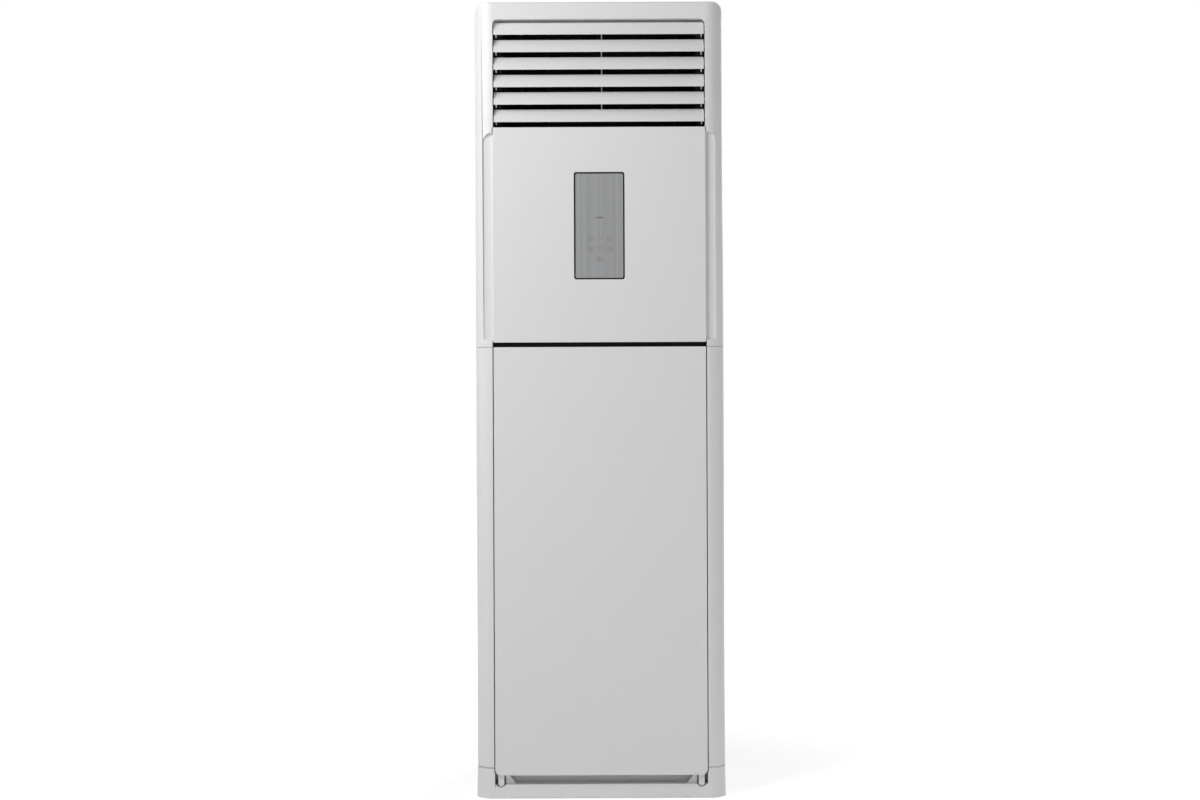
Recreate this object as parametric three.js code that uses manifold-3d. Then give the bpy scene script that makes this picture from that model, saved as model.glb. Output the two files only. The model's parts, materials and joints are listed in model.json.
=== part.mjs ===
// Floor standing air conditioner cabinet, modelled as separate pieces.
// Millimetres. +X to the right, +Y to the rear, +Z up. Origin on the floor, at the middle of the footprint.
import * as THREE from "three";
import { mergeVertices } from "three/addons/utils/BufferGeometryUtils.js";
import Module from "manifold-3d";

const wasm = await Module();
wasm.setup();

// ---------------------------------------------------------------- driving dimensions
const CLEAR = 0.3; // gap kept between pieces that rest on each other
const CUT = 1; // how far a cutting tool reaches past the piece it cuts
const BODY_HALF = 298.5; // half the cabinet's width above the plinth
const BODY_TOP = 1905; // cabinet height
const FACE_Y = -222; // plane of the front panels
const REAR_Y = 221; // outer face of the rear panel
const PLAN_R = 44; // radius of the vertical front corners, seen from above
const REAR_R = 3; // radius of the vertical rear corners
const TOP_R = 25; // radius of the top corners, seen from the front
const TOP_EDGE = 3; // bevel along the front of the top edge
const SKIN = 3; // moulded wall
const SHEET = 1.5; // steel sheet of the outer panels
const SHEET_IN = 2; // steel sheet inside
const ARC_STEPS = 6; // facets in a quarter of a large arc
const FINE_STEPS = 3; // facets in a quarter of a small arc
const INNER_HALF = BODY_HALF - SHEET - CLEAR; // reach of what stands between the side panels
const MOULD_HALF = BODY_HALF - SKIN - CLEAR; // reach of what stands between the front mouldings

const OUT_SIDE = 44.5; // from the cabinet's side to the outlet opening
const OUT_DROP = 40.7; // from the cabinet's top to the outlet opening
const OUT_TALL = 258.5; // height of the outlet opening
const OUT_R = 11; // radius of its upper corners
const OUT_HALF = BODY_HALF - OUT_SIDE;
const OUT_HIGH = BODY_TOP - OUT_DROP;
const OUT_LOW = OUT_HIGH - OUT_TALL;
const COLLAR_DEEP = 39.7; // reach of the wall round the outlet
const COLLAR_REAR = FACE_Y + COLLAR_DEEP;

const SLOT_SIDE = 42; // from the cabinet's side to the slot for the front panels
const SLOT_HALF = BODY_HALF - SLOT_SIDE;
const PANEL_GAP = 2.5; // gap beside the front panels
const PANEL_HALF = SLOT_HALF - PANEL_GAP;
const PANEL_SKIN = 2.5; // wall of the front panels
const UPPER_GAP = 0.4; // gap above the upper front panel
const UPPER_TALL = 514.4; // height of the upper front panel
const UPPER_HIGH = OUT_LOW - UPPER_GAP;
const UPPER_LOW = UPPER_HIGH - UPPER_TALL;
const SEAT_DEEP = 9; // depth of the floor that the upper panel sits on
const SEAT_Y = FACE_Y + SEAT_DEEP;
const SEAT_THICK = 3;
const CHANNEL_SIDE = 20.5; // from the cabinet's side to the outer wall of the side channels
const CHANNEL_HALF = BODY_HALF - CHANNEL_SIDE;
const CHANNEL_LOW = UPPER_LOW + 6;
const CHANNEL_HIGH = UPPER_HIGH - 12.4;
const CHANNEL_R = 20; // radius of the channels' upper corners
const CHANNEL_LOW_R = 6; // radius of their lower corners
const ACCESS_HALF = SLOT_HALF - 31.5; // service opening behind the upper panel
const ACCESS_LOW = UPPER_LOW + 23;
const ACCESS_HIGH = UPPER_HIGH - 19.4;
const SEAM_Z = UPPER_LOW - 11; // seam between columns and upper frame
const SEAM_GAP = 1;
const FRAME_DEEP = 102; // depth of the front mouldings
const FRAME_REAR = FACE_Y + FRAME_DEEP;
const FRAME_LIP = 12; // lip round the rear of the upper frame

const PLINTH_TOP = 71; // top of the plinth
const PLINTH_FLARE = 1.5; // how far the plinth spreads at the floor, each side
const PLINTH_REAR = FRAME_REAR + 20;
const NECK_TOP = PLINTH_TOP + 4; // the columns stand this high, on a set-back neck
const NECK_INSET = 4;
const TOE_HALF = PANEL_HALF + 1; // half width of the toe recess
const TOE_SHELF = 32; // height of the shelf in front of the recess
const TOE_DEPTH = 57; // depth of the recess
const TOE_ROOF = PLINTH_TOP - 9; // roof of the recess
const STEP_CHAMFER = 7; // sloped edge between shelf and front face
const TROUGH_X = PANEL_HALF - 14; // middle of each foot trough
const TROUGH_HALF = 10;
const TROUGH_FLOOR = TOE_SHELF - 9;
const TROUGH_LIP = 3; // low lip at the front of each trough
const CHEEK_IN = TROUGH_X - 35; // inner end of the sloping cheek beside each trough
const CHEEK_OUT = TROUGH_X - 10.5; // outer end of it
const CHEEK_DEPTH = 37;
const PAD_LENGTH = 80; // foot pads
const PAD_RISE = 3; // the plinth's middle stands this far off the floor
const PAD_REAR = 90; // length of the rear foot pads, front to back

const FINGER_GAP = 11.4; // open strip between the two front panels
const LOWER_LOW = PLINTH_TOP - 15.6; // intake panel, lower edge
const LOWER_HIGH = UPPER_LOW - FINGER_GAP; // intake panel, upper edge
const LOWER_R = 13; // radius of its lower corners
const LOWER_DEPTH = 18; // depth of its folded edges
const LOWER_RIBS = 3; // stiffening ribs across its back
const RIB_DEEP = 12;
const FOOT_Y = FACE_Y + 15; // axis about which the intake panel tips
const FOOT_R = 8.5;
const FOOT_HALF = 7;
const FOOT_CORNER = 5; // rounding of its ends
const FOOT_SIDES = 16;
const CATCH_X = PANEL_HALF - 54; // middle of each catch at the panel's top
const CATCH_HALF = 10;
const CATCH_DROP = 19.6; // from the panel's upper edge to the catch
const CATCH_RISE = 8; // height of the hooked end
const RAIL_TALL = 62; // cross rail behind the finger gap
const RAIL_DEEP = 14;
const RAIL_OVER = 30; // how far the rail reaches past the slot

const COLUMN_RETURN = 22; // depth of the wall beside the intake panel
const COLUMN_FLANGE = 24; // width of the flange at the column's rear
const INLET_COUNT = 20; // inlet slots in each column
const INLET_FIRST = 180; // height of the lowest one
const INLET_SPARE = 140; // column left plain at the top
const INLET_PITCH = (SEAM_Z - INLET_FIRST - INLET_SPARE) / INLET_COUNT;
const INLET_TALL = 20;
const INLET_FROM = FACE_Y + 50;
const INLET_TO = FRAME_REAR - 12;

const SIDE_FOLD = 18; // folds along the side panels
const BACK_RIBS = 5; // pressed ribs of the rear panel
const BACK_RIB_SIDE = 78.5; // from the cabinet's side to the end of a rib
const BACK_RIB_HALF = 14;
const BACK_RIB_DEEP = 5;
const PIPE_X = BODY_HALF - 108.5; // pipe outlet in the rear panel
const PIPE_Z = 150;
const PIPE_HOLE = 45;
const BRACKET_HALF = 60; // wall bracket
const BRACKET_LOW = BODY_TOP - 105;
const BRACKET_HIGH = BODY_TOP - 35;
const BRACKET_TALL = 32; // height of its thick upper strip
const BRACKET_THIN = 2;
const BRACKET_THICK = 4; // how far it stands off the rear panel
const BRACKET_HOLE_X = 40;

const BULKHEAD_Y = FRAME_REAR + 16; // rear face of the wall that holds the filter
const FILTER_HALF = SLOT_HALF - 16.5;
const FILTER_LOW = 160;
const FILTER_THICK = 8;
const FILTER_LIFT = 15;
const FILTER_RIM = 12;
const FILTER_BAR = 4; // width of the filter's bars

const DIVIDER_Z = UPPER_LOW - 130.7; // underside of the plate over the blower
const FILTER_HIGH = DIVIDER_Z - 40.3;
const SCROLL_TOP = DIVIDER_Z - CLEAR;
const WHEEL_X = -25; // blower axis
const WHEEL_Z = SCROLL_TOP - 320;
const WHEEL_R = 170;
const WHEEL_INNER = WHEEL_R - 34;
const WHEEL_BLADES = 30;
const BLADE_THICK = 1.2;
const BLADE_LEAD = 0.16; // how far a blade curves forward, radians
const SCROLL_FRONT = BULKHEAD_Y + 29; // front face of the scroll
const SCROLL_BACK = REAR_Y - 116; // rear face of the scroll
const SCROLL_START = WHEEL_R + 14; // radius of the scroll at its tongue
const SCROLL_GROWTH = 76; // how much the radius grows up to the outlet
const SCROLL_TONGUE = 70; // angle of the tongue, degrees
const SCROLL_STEP = 14.5; // degrees between its corners
const SCROLL_WALL = 2.5;
const SCROLL_FLANGE = 15; // flange round the scroll's outlet
const LEG_HALF = 25; // legs of the scroll
const LEG_X = [WHEEL_X - 125, WHEEL_X + 115];
const LEG_HIGH = WHEEL_Z - WHEEL_R;
const WHEEL_FRONT = SCROLL_FRONT + 13;
const WHEEL_BACK = SCROLL_BACK - 20;
const HUB_R = 22;
const HUB_LONG = 45;
const SHAFT_R = 7;
const THROAT = WHEEL_INNER - 10; // radius of the bell mouth's THROAT
const BELL_R = 20; // radius of its rounded lip
const BELL_RIM = THROAT + 42;
const BELL_FLANGE = 14;
const BELL_WALL = 2;
const MOTOR_R = 72;
const MOTOR_FRONT = SCROLL_BACK + 7;
const MOTOR_BACK = REAR_Y - 17;
const MOTOR_PLATE = [220, 160]; // width and height of its bracket plate

const PARTITION_Y = FACE_Y + 70; // front face of the wall before the coil
const PAN_FLOOR = DIVIDER_Z + 17.7;
const PAN_HIGH = PAN_FLOOR + 32;
const PAN_DEEP = 128; // drain pan, front to back
const SPOUT_R = 10;
const DUCT_FLOOR = OUT_LOW - 5.8; // inside floor of the duct at the mouth
const DUCT_ROOF = OUT_HIGH + 3.7;
const DUCT_LOW = DUCT_FLOOR - 60;
const DUCT_WALL = 5;
const DUCT_HALF = OUT_HALF - 18; // inside half width of the outlet duct
const DUCT_FRONT = COLLAR_REAR + CLEAR;
const DUCT_BACK = REAR_Y - 21;
const DUCT_KNEE = PARTITION_Y + 42; // inside of the lower front wall
const DUCT_TURN = 160; // radius of the rear bend, inside
const KNEE_R = 30;

const COIL_HALF = SLOT_HALF - 21.5;
const COIL_THICK = 60;
const COIL_Y = PARTITION_Y + 46; // lower front corner of the coil, seen from the side
const COIL_Z = PAN_FLOOR + 58;
const COIL_LEAN = 22; // degrees from upright
const COIL_HEADROOM = 40.4; // room left under the duct
const COIL_LENGTH = (DUCT_LOW - COIL_Z - COIL_HEADROOM) / Math.cos((COIL_LEAN * Math.PI) / 180);
const RIB_COUNT = 20; // ribs that stand for the packed fins
const RIB_WIDE = 18;
const RIB_TALL = 6;
const BEND_COUNT = 5; // return bends at each end
const BEND_R = 7;
const BEND_REACH = 28;
const SUCTION_R = 9.5;
const SUCTION_X = INNER_HALF - 34.7;
const SUCTION_Y = REAR_Y - 31;
const LIQUID_R = 5;
const LIQUID_X = INNER_HALF - 12.7;
const LIQUID_Y = REAR_Y - 25;
const PIPE_END = REAR_Y - 4;
const PIPE_APART = 20; // from the pipe outlet's middle to each pipe

const LOUVRE_COUNT = 6;
const LOUVRE_TOP_GAP = 21.6; // from the outlet's top to the middle of the first louvre
const LOUVRE_LOW_GAP = 28.1; // from the outlet's sill to the middle of the last one
const LOUVRE_TOP_Z = OUT_HIGH - LOUVRE_TOP_GAP;
const LOUVRE_PITCH = (OUT_TALL - LOUVRE_TOP_GAP - LOUVRE_LOW_GAP) / (LOUVRE_COUNT - 1);
const LOUVRE_HALF = OUT_HALF - 2.4;
const LOUVRE_LIP = FACE_Y - 3; // foremost edge of a louvre
const LOUVRE_RISE = 32.6; // visible height of a louvre
const LOUVRE_BACK = 20; // how far the upper edge lies behind the lip
const LOUVRE_BULGE = 2.4; // how far it curves out between its edges
const LOUVRE_THICK = 2.6;
const LOUVRE_CORNER = 6; // radius at the top corners of the first louvre
const LOUVRE_AXIS = FACE_Y + 22; // y of the louvre axes
const PIN_R = 2.5;
const PIN_CLEAR = 0.3;
const EAR_X = OUT_HALF - 8; // end ears of a louvre
const EAR_THICK = 2.4;
const EAR_DROP = 4; // how far an ear reaches below its louvre
const LINK_X = 7; // louvre link bar
const LINK_WIDE = 2.8;
const LINK_DEEP = 6;
const LINK_PIN = 1.6;
const LINK_ARM = 16; // distance from louvre axis to link pin
const BEARING_FROM = FACE_Y + 10.3;
const BEARING_THICK = 4;
const BEARING_LOW = OUT_LOW + 6;
const BEARING_HIGH = OUT_HIGH - OUT_R - 2;

const VANE_COUNT = 7;
const VANE_SIDE = 50; // from the duct's side wall to the outermost vane
const VANE_PITCH = (2 * (DUCT_HALF - VANE_SIDE)) / (VANE_COUNT - 1);
const VANE_AXIS = FACE_Y + 70;
const VANE_AHEAD = 18; // how far a vane reaches in front of its axis
const VANE_CHORD = 50;
const VANE_THICK = 2;
const VANE_CORNER = 8;
const VANE_ARM = 26; // distance from vane axis to link pin
const VANE_PIN = 1.8;
const VANE_LOW = DUCT_FLOOR + 2;
const VANE_HIGH = DUCT_ROOF - 2;
const VANE_FOOT = 4; // radius of the boss under a vane
const LINK_LOW = VANE_LOW + 11; // underside of the vanes' link bar
const LINK_THICK = 4;
const LINK_HALF = 5; // half the link bar's width
const LINK_END = 8; // how far the bar reaches past its last pin
const CRANK_X = 1.5 * VANE_PITCH;
const CRANK_R = 4;
const CRANK_CLEAR = 0.5;
const SWING_R = 14; // swing motor
const SWING_TALL = 22;

const WINDOW_HALF = 60.75; // display opening
const WINDOW_LOW = UPPER_LOW + 150;
const WINDOW_HIGH = WINDOW_LOW + 257;
const WINDOW_R = 6;
const WINDOW_BORDER = 3.3;
const WINDOW_RECESS = 2.2;
const BEZEL_RECESS = 1.2;
const BEZEL_DEEP = 7;
const BEZEL_FLANGE = 6;
const BEZEL_LEDGE = 5.7; // ledge that the window rests on
const BOARD_THICK = 1.6;

const BOX_RIGHT = ACCESS_HALF - 15; // control box
const BOX_LEFT = -ACCESS_HALF + 75;
const BOX_LOW = UPPER_LOW + 39;
const BOX_TALL = 320;
const BOX_FRONT = SEAT_Y + SEAT_THICK + 12;
const BOX_BACK = PARTITION_Y - CLEAR;

// ---------------------------------------------------------------- geometry helpers
const rad = THREE.MathUtils.degToRad;

// A closed geometry as a solid that can be joined and cut.
function solid(geometry) {
  const bare = new THREE.BufferGeometry();
  const flat = geometry.index ? geometry.toNonIndexed() : geometry;
  bare.setAttribute("position", flat.getAttribute("position"));
  const merged = mergeVertices(bare, 1e-3);
  return new wasm.Manifold(new wasm.Mesh({
    numProp: 3,
    vertProperties: new Float32Array(merged.attributes.position.array),
    triVerts: new Uint32Array(merged.index.array),
  }));
}

function geometryOf(body) {
  const mesh = body.getMesh();
  const geometry = new THREE.BufferGeometry();
  geometry.setAttribute("position", new THREE.BufferAttribute(new Float32Array(mesh.vertProperties), 3));
  geometry.setIndex(new THREE.BufferAttribute(new Uint32Array(mesh.triVerts), 1));
  geometry.computeVertexNormals();
  return geometry;
}

const join = (...bodies) => bodies.flat().reduce((a, b) => a.add(b));
const cut = (body, ...tools) => tools.flat().reduce((a, b) => a.subtract(b), body);

function box(x0, x1, y0, y1, z0, z1) {
  const geometry = new THREE.BoxGeometry(x1 - x0, y1 - y0, z1 - z0);
  geometry.translate((x0 + x1) / 2, (y0 + y1) / 2, (z0 + z1) / 2);
  return solid(geometry);
}

function extrude(shape, depth, steps) {
  return new THREE.ExtrudeGeometry(shape, { depth, bevelEnabled: false,
      curveSegments: steps ?? FINE_STEPS });
}

// Shape drawn in (x, y), extruded from z0 to z1.
function alongZ(shape, z0, z1, steps) {
  return solid(extrude(shape, z1 - z0, steps).translate(0, 0, z0));
}

// Shape drawn in (x, z), extruded from y0 to y1.
function alongY(shape, y0, y1, steps) {
  return solid(extrude(shape, y1 - y0, steps).rotateX(Math.PI / 2).translate(0, y1, 0));
}

// Shape drawn in (y, z), extruded from x0 to x1.
function alongX(shape, x0, x1, steps) {
  const geometry = extrude(shape, x1 - x0, steps);
  geometry.applyMatrix4(new THREE.Matrix4().makeBasis(
    new THREE.Vector3(0, 1, 0), new THREE.Vector3(0, 0, 1), new THREE.Vector3(1, 0, 0)));
  return solid(geometry.translate(x0, 0, 0));
}

function polygon(points) {
  return new THREE.Shape(points.map(([u, v]) => new THREE.Vector2(u, v)));
}

// Rectangle with its own radius at each corner: lower left, lower right, upper right, upper left.
function roundRect(u0, v0, u1, v1, radii) {
  const [a, b, c, d] = Array.isArray(radii) ? radii : [radii, radii, radii, radii];
  const s = new THREE.Shape();
  s.moveTo(u0 + a, v0);
  s.lineTo(u1 - b, v0);
  if (b) s.absarc(u1 - b, v0 + b, b, -Math.PI / 2, 0);
  s.lineTo(u1, v1 - c);
  if (c) s.absarc(u1 - c, v1 - c, c, 0, Math.PI / 2);
  s.lineTo(u0 + d, v1);
  if (d) s.absarc(u0 + d, v1 - d, d, Math.PI / 2, Math.PI);
  s.lineTo(u0, v0 + a);
  if (a) s.absarc(u0 + a, v0 + a, a, Math.PI, 1.5 * Math.PI);
  return s;
}

function circle(u, v, r) {
  const s = new THREE.Shape();
  s.absarc(u, v, r, 0, 2 * Math.PI);
  return s;
}

// Round bars and bores along each axis; sides is a multiple of four.
function barX(y, z, r, x0, x1, sides = 8) {
  const g = new THREE.CylinderGeometry(r, r, x1 - x0, sides).rotateZ(Math.PI / 2);
  return solid(g.translate((x0 + x1) / 2, y, z));
}
function barY(x, z, r, y0, y1, sides = 16) {
  return solid(new THREE.CylinderGeometry(r, r, y1 - y0, sides).translate(x, (y0 + y1) / 2, z));
}
function barZ(x, y, r, z0, z1, sides = 8) {
  const g = new THREE.CylinderGeometry(r, r, z1 - z0, sides).rotateX(Math.PI / 2);
  return solid(g.translate(x, y, (z0 + z1) / 2));
}

function mirrorX(body) {
  return body.mirror([1, 0, 0]);
}
const both = (body) => join(body, mirrorX(body));

// Tube along a list of points, bent with a radius at each corner.
function tube(points, r, bendR, sides = 8) {
  const at = points.map((p) => new THREE.Vector3(...p));
  const path = new THREE.CurvePath();
  let from = at[0];
  for (let i = 1; i < at.length - 1; i++) {
    const back = at[i - 1].clone().sub(at[i]).normalize();
    const ahead = at[i + 1].clone().sub(at[i]).normalize();
    const a = at[i].clone().addScaledVector(back, bendR);
    const b = at[i].clone().addScaledVector(ahead, bendR);
    path.add(new THREE.LineCurve3(from, a));
    path.add(new THREE.QuadraticBezierCurve3(a, at[i], b));
    from = b;
  }
  path.add(new THREE.LineCurve3(from, at[at.length - 1]));
  const section = new THREE.Shape();
  for (let i = 0; i <= sides; i++) {
    const angle = (2 * Math.PI * i) / sides;
    if (i) section.lineTo(r * Math.cos(angle), r * Math.sin(angle));
    else section.moveTo(r, 0);
  }
  const stops = [];
  for (const curve of path.curves) {
    const count = curve.isLineCurve3 ? 1 : FINE_STEPS;
    for (let i = stops.length ? 1 : 0; i <= count; i++) stops.push(curve.getPoint(i / count));
  }
  const line = new THREE.CurvePath();
  for (let i = 1; i < stops.length; i++) line.add(new THREE.LineCurve3(stops[i - 1], stops[i]));
  line.getPointAt = (t) => stops[Math.round(t * (stops.length - 1))];
  line.getTangentAt = (t) => {
    const i = Math.round(t * (stops.length - 1));
    const low = stops[Math.max(0, i - 1)];
    const high = stops[Math.min(stops.length - 1, i + 1)];
    return high.clone().sub(low).normalize();
  };
  line.getSpacedPoints = () => stops;
  line.getUtoTmapping = (u) => u;
  return solid(new THREE.ExtrudeGeometry(section, {
    steps: stops.length - 1, extrudePath: line, bevelEnabled: false }));
}

// ---------------------------------------------------------------- materials
const paint = (color, roughness, metalness = 0) =>
  new THREE.MeshStandardMaterial({ color, roughness, metalness });
const white = () => paint(0xe6e7e8, 0.45);
const whiteSheet = () => paint(0xdfe0e1, 0.5);
const black = () => paint(0x17181a, 0.6);
const zinc = () => paint(0xb4b7ba, 0.4, 0.8);
const aluminium = () => paint(0xc8cbce, 0.35, 0.9);
const copper = () => paint(0xb5673a, 0.3, 0.9);
const foam = () => paint(0x3a3c3e, 0.9);

const root = new THREE.Group();
const part = (group, name, body, material) => {
  const mesh = new THREE.Mesh(geometryOf(body), material);
  mesh.name = name;
  group.add(mesh);
  return mesh;
};
const group = () => {
  const g = new THREE.Group();
  root.add(g);
  return g;
};
const cabinet = group();
const inlet = group();
const blower = group();
const cooling = group();
const controls = group();
const outlet = group();

// ---------------------------------------------------------------- cabinet skin
// Outline from above, set in from the outer skin.
function planShape(inset, rear = REAR_Y) {
  const h = BODY_HALF - inset;
  const rearR = Math.max(REAR_R - inset, 0);
  return roundRect(-h, FACE_Y + inset, h, rear - inset, [PLAN_R - inset, PLAN_R - inset, rearR, rearR]);
}
// Outline from the front, set in from the outer skin.
function faceShape(inset, low) {
  const h = BODY_HALF - inset;
  return roundRect(-h, low, h, BODY_TOP - inset, [0, 0, TOP_R - inset, TOP_R - inset]);
}
// Solid block bounded by both outlines.
function block(inset, y0, y1, z0, z1) {
  const plan = alongZ(planShape(inset, REAR_Y + inset), z0, z1, ARC_STEPS);
  const face = alongY(faceShape(inset, z0 - 1), y0, y1, ARC_STEPS);
  return plan.intersect(face);
}

// Upper front frame.
const frameLow = SEAM_Z + SEAM_GAP / 2;
const topBevel = alongX(polygon([[FACE_Y - 1, BODY_TOP - TOP_EDGE - 1], [FACE_Y + TOP_EDGE + 1,
    BODY_TOP + 1],
  [FACE_Y - 1, BODY_TOP + 1]]), -BODY_HALF, BODY_HALF);
const frameOuter = cut(block(0, FACE_Y - 1, FRAME_REAR, frameLow, BODY_TOP + 1), topBevel);
const frameInner = block(SKIN, FACE_Y - 1, FRAME_REAR + 1, frameLow - 1, BODY_TOP + 1);
const seatFill = frameOuter.intersect(
  box(-CHANNEL_HALF - SKIN, CHANNEL_HALF + SKIN, FACE_Y - 1, SEAT_Y + SEAT_THICK, frameLow, OUT_LOW));
const collar = alongY(roundRect(-OUT_HALF - SKIN, OUT_LOW - SKIN, OUT_HALF + SKIN, OUT_HIGH + SKIN,
  [0, 0, OUT_R + SKIN, OUT_R + SKIN]), FACE_Y + 1, COLLAR_REAR);
const outletHole = alongY(roundRect(-OUT_HALF, OUT_LOW, OUT_HALF, OUT_HIGH, [0, 0, OUT_R, OUT_R]),
  FACE_Y - 2, COLLAR_REAR + 1);
const bearingNotch = (x0, x1) => box(x0, x1, BEARING_FROM - CLEAR, COLLAR_REAR + CUT,
  BEARING_LOW, BEARING_HIGH);
const panelSlot = box(-SLOT_HALF, SLOT_HALF, FACE_Y - 2, SEAT_Y, frameLow - 1, OUT_LOW + 0.1);
const channel = alongY(roundRect(-CHANNEL_HALF, CHANNEL_LOW, CHANNEL_HALF, CHANNEL_HIGH,
  [CHANNEL_LOW_R, CHANNEL_LOW_R, CHANNEL_R, CHANNEL_R]), FACE_Y - 2, SEAT_Y);
const gapCut = box(-SLOT_HALF, SLOT_HALF, SEAT_Y - 1, SEAT_Y + SEAT_THICK + 1, frameLow - 1, UPPER_LOW + 3);
const access = box(-ACCESS_HALF, ACCESS_HALF, SEAT_Y - 1, SEAT_Y + SEAT_THICK + 1, ACCESS_LOW, ACCESS_HIGH);
const rearLip = cut(
  block(SKIN - 0.1, FRAME_REAR - SKIN, FRAME_REAR, frameLow, BODY_TOP),
  block(SKIN + FRAME_LIP, FRAME_REAR - SKIN - 1, FRAME_REAR + 1, frameLow - 1, BODY_TOP));
const upperFrame = cut(
  join(cut(frameOuter, frameInner), seatFill, collar, rearLip),
  outletHole, panelSlot, channel, access, gapCut,
  bearingNotch(OUT_HALF - 1, OUT_HALF + SKIN + 2), bearingNotch(-OUT_HALF - SKIN - 2, -OUT_HALF + 1));
part(cabinet, "upper_front_frame", upperFrame, white());

// Top cover: the rest of the top, behind the front frame.
const topLow = BODY_TOP - TOP_R;
const topOuter = block(0, FRAME_REAR + CLEAR, REAR_Y, topLow, BODY_TOP + 1);
const topInner = block(SKIN, FRAME_REAR + CLEAR - 1, REAR_Y - SKIN, topLow - 1, BODY_TOP + 1);
part(cabinet, "top_cover", cut(topOuter, topInner), white());

// Front columns with their inlet slots.
function column() {
  const z0 = NECK_TOP + CLEAR;
  const z1 = SEAM_Z - SEAM_GAP / 2;
  const outer = alongZ(planShape(0), z0, z1, ARC_STEPS);
  const inner = alongZ(planShape(SKIN), z0 - 1, z1 + 1, ARC_STEPS);
  const skin = cut(outer, inner).intersect(box(SLOT_HALF, BODY_HALF, FACE_Y, FRAME_REAR, z0, z1));
  const side = box(SLOT_HALF, SLOT_HALF + SKIN, FACE_Y + 1, FACE_Y + COLUMN_RETURN, z0, z1);
  const back = box(BODY_HALF - COLUMN_FLANGE, BODY_HALF - SKIN + CUT, FRAME_REAR - SKIN, FRAME_REAR, z0,
      z1);
  const slots = [];
  for (let i = 0; i < INLET_COUNT; i++) {
    const z = INLET_FIRST + i * INLET_PITCH;
    slots.push(box(BODY_HALF - SKIN - CUT, BODY_HALF + CUT, INLET_FROM, INLET_TO, z, z + INLET_TALL));
  }
  return cut(join(skin, side, back), slots);
}
const rightColumn = column();
part(cabinet, "right_front_column", rightColumn, white());
part(cabinet, "left_front_column", mirrorX(rightColumn), white());

// Side panels: folded sheet, front edge behind the columns and the upper frame.
const sideFront = FRAME_REAR + CLEAR;
const sideLow = NECK_TOP + CLEAR;
const sideHigh = topLow - CLEAR;
const sideSkin = join(
  box(BODY_HALF - SHEET, BODY_HALF, sideFront, REAR_Y - SHEET - CLEAR, sideLow, sideHigh),
  box(BODY_HALF - SIDE_FOLD, BODY_HALF, sideFront, sideFront + SHEET, sideLow, sideHigh),
  box(BODY_HALF - SIDE_FOLD, BODY_HALF, REAR_Y - 2 * SHEET - CLEAR, REAR_Y - SHEET - CLEAR, sideLow,
      sideHigh));
part(cabinet, "right_side_panel", sideSkin, whiteSheet());
part(cabinet, "left_side_panel", mirrorX(sideSkin), whiteSheet());

// Rear panel with pressed ribs and the pipe outlet.
const rearRib = (z) => {
  const half = BACK_RIB_HALF;
  const slope = BACK_RIB_DEEP + CUT;
  const inside = BACK_RIB_DEEP - SHEET;
  const face = REAR_Y - SHEET;
  const trough = polygon([[face, z - half], [face - BACK_RIB_DEEP, z - half + slope],
    [face - BACK_RIB_DEEP, z + half - slope], [face, z + half]]);
  const hollow = polygon([[REAR_Y + CUT, z - half + SHEET / 2], [REAR_Y - SHEET - inside, z - half + slope],
    [REAR_Y - SHEET - inside, z + half - slope], [REAR_Y + CUT, z + half - SHEET / 2]]);
  const reach = BODY_HALF - BACK_RIB_SIDE;
  return { trough: alongX(trough, -reach, reach), hollow: alongX(hollow, -reach + SHEET, reach - SHEET) };
};
const ribs = Array.from({ length: BACK_RIBS }, (_, i) =>
  rearRib(sideLow + ((i + 0.5) / BACK_RIBS) * (sideHigh - sideLow)));
const rearPanel = cut(
  join(box(-BODY_HALF + SHEET, BODY_HALF - SHEET, REAR_Y - SHEET, REAR_Y, sideLow, sideHigh),
    ribs.map((rib) => rib.trough)),
  ribs.map((rib) => rib.hollow),
  alongY(circle(PIPE_X, PIPE_Z, PIPE_HOLE), REAR_Y - 2 * BACK_RIB_DEEP, REAR_Y + CUT, ARC_STEPS));
part(cabinet, "rear_panel", rearPanel, whiteSheet());

// Wall bracket that keeps the cabinet from tipping.
const bracketFace = REAR_Y + BRACKET_THICK;
const bracketHole = (x, z, r) => alongY(circle(x, z, r), REAR_Y, bracketFace + CUT);
const bracketScrewZ = BRACKET_HIGH - BRACKET_TALL / 2;
const bracket = cut(
  join(box(-BRACKET_HALF, BRACKET_HALF, REAR_Y + CLEAR, REAR_Y + BRACKET_THIN + CLEAR, BRACKET_LOW,
      BRACKET_HIGH),
    box(-BRACKET_HALF, BRACKET_HALF, REAR_Y + CLEAR, bracketFace, BRACKET_HIGH - BRACKET_TALL,
        BRACKET_HIGH)),
  [-BRACKET_HOLE_X, BRACKET_HOLE_X].map((x) => [bracketHole(x, bracketScrewZ, 4),
    bracketHole(x, BRACKET_LOW + BRACKET_TALL / 2, 3)]).flat());
part(cabinet, "wall_bracket", bracket, zinc());

// Plinth: flared moulding with a toe recess, troughs for the panel's feet and slanted cheeks.
function plinthBlock(inset, z0, z1) {
  const spread = (PLINTH_TOP - z0) / PLINTH_TOP * PLINTH_FLARE;
  const at = (extra) => {
    const h = BODY_HALF - inset + extra;
    return roundRect(-h, FACE_Y + inset - extra, h, PLINTH_REAR, [PLAN_R - inset, PLAN_R - inset, 0, 0]);
  };
  const base = extrude(at(0), z1 - z0, ARC_STEPS).translate(0, 0, z0);
  const p = base.getAttribute("position");
  const side = (BODY_HALF - inset + spread) / (BODY_HALF - inset);
  for (let i = 0; i < p.count; i++) {
    if (p.getZ(i) > z0 + 1e-6) continue;
    p.setX(i, p.getX(i) * side);
    if (p.getY(i) < PLINTH_REAR) p.setY(i,
        p.getY(i) - spread * (PLINTH_REAR - p.getY(i)) / (PLINTH_REAR - FACE_Y));
  }
  return solid(base);
}
const toeBack = FACE_Y + TOE_DEPTH;
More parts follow.
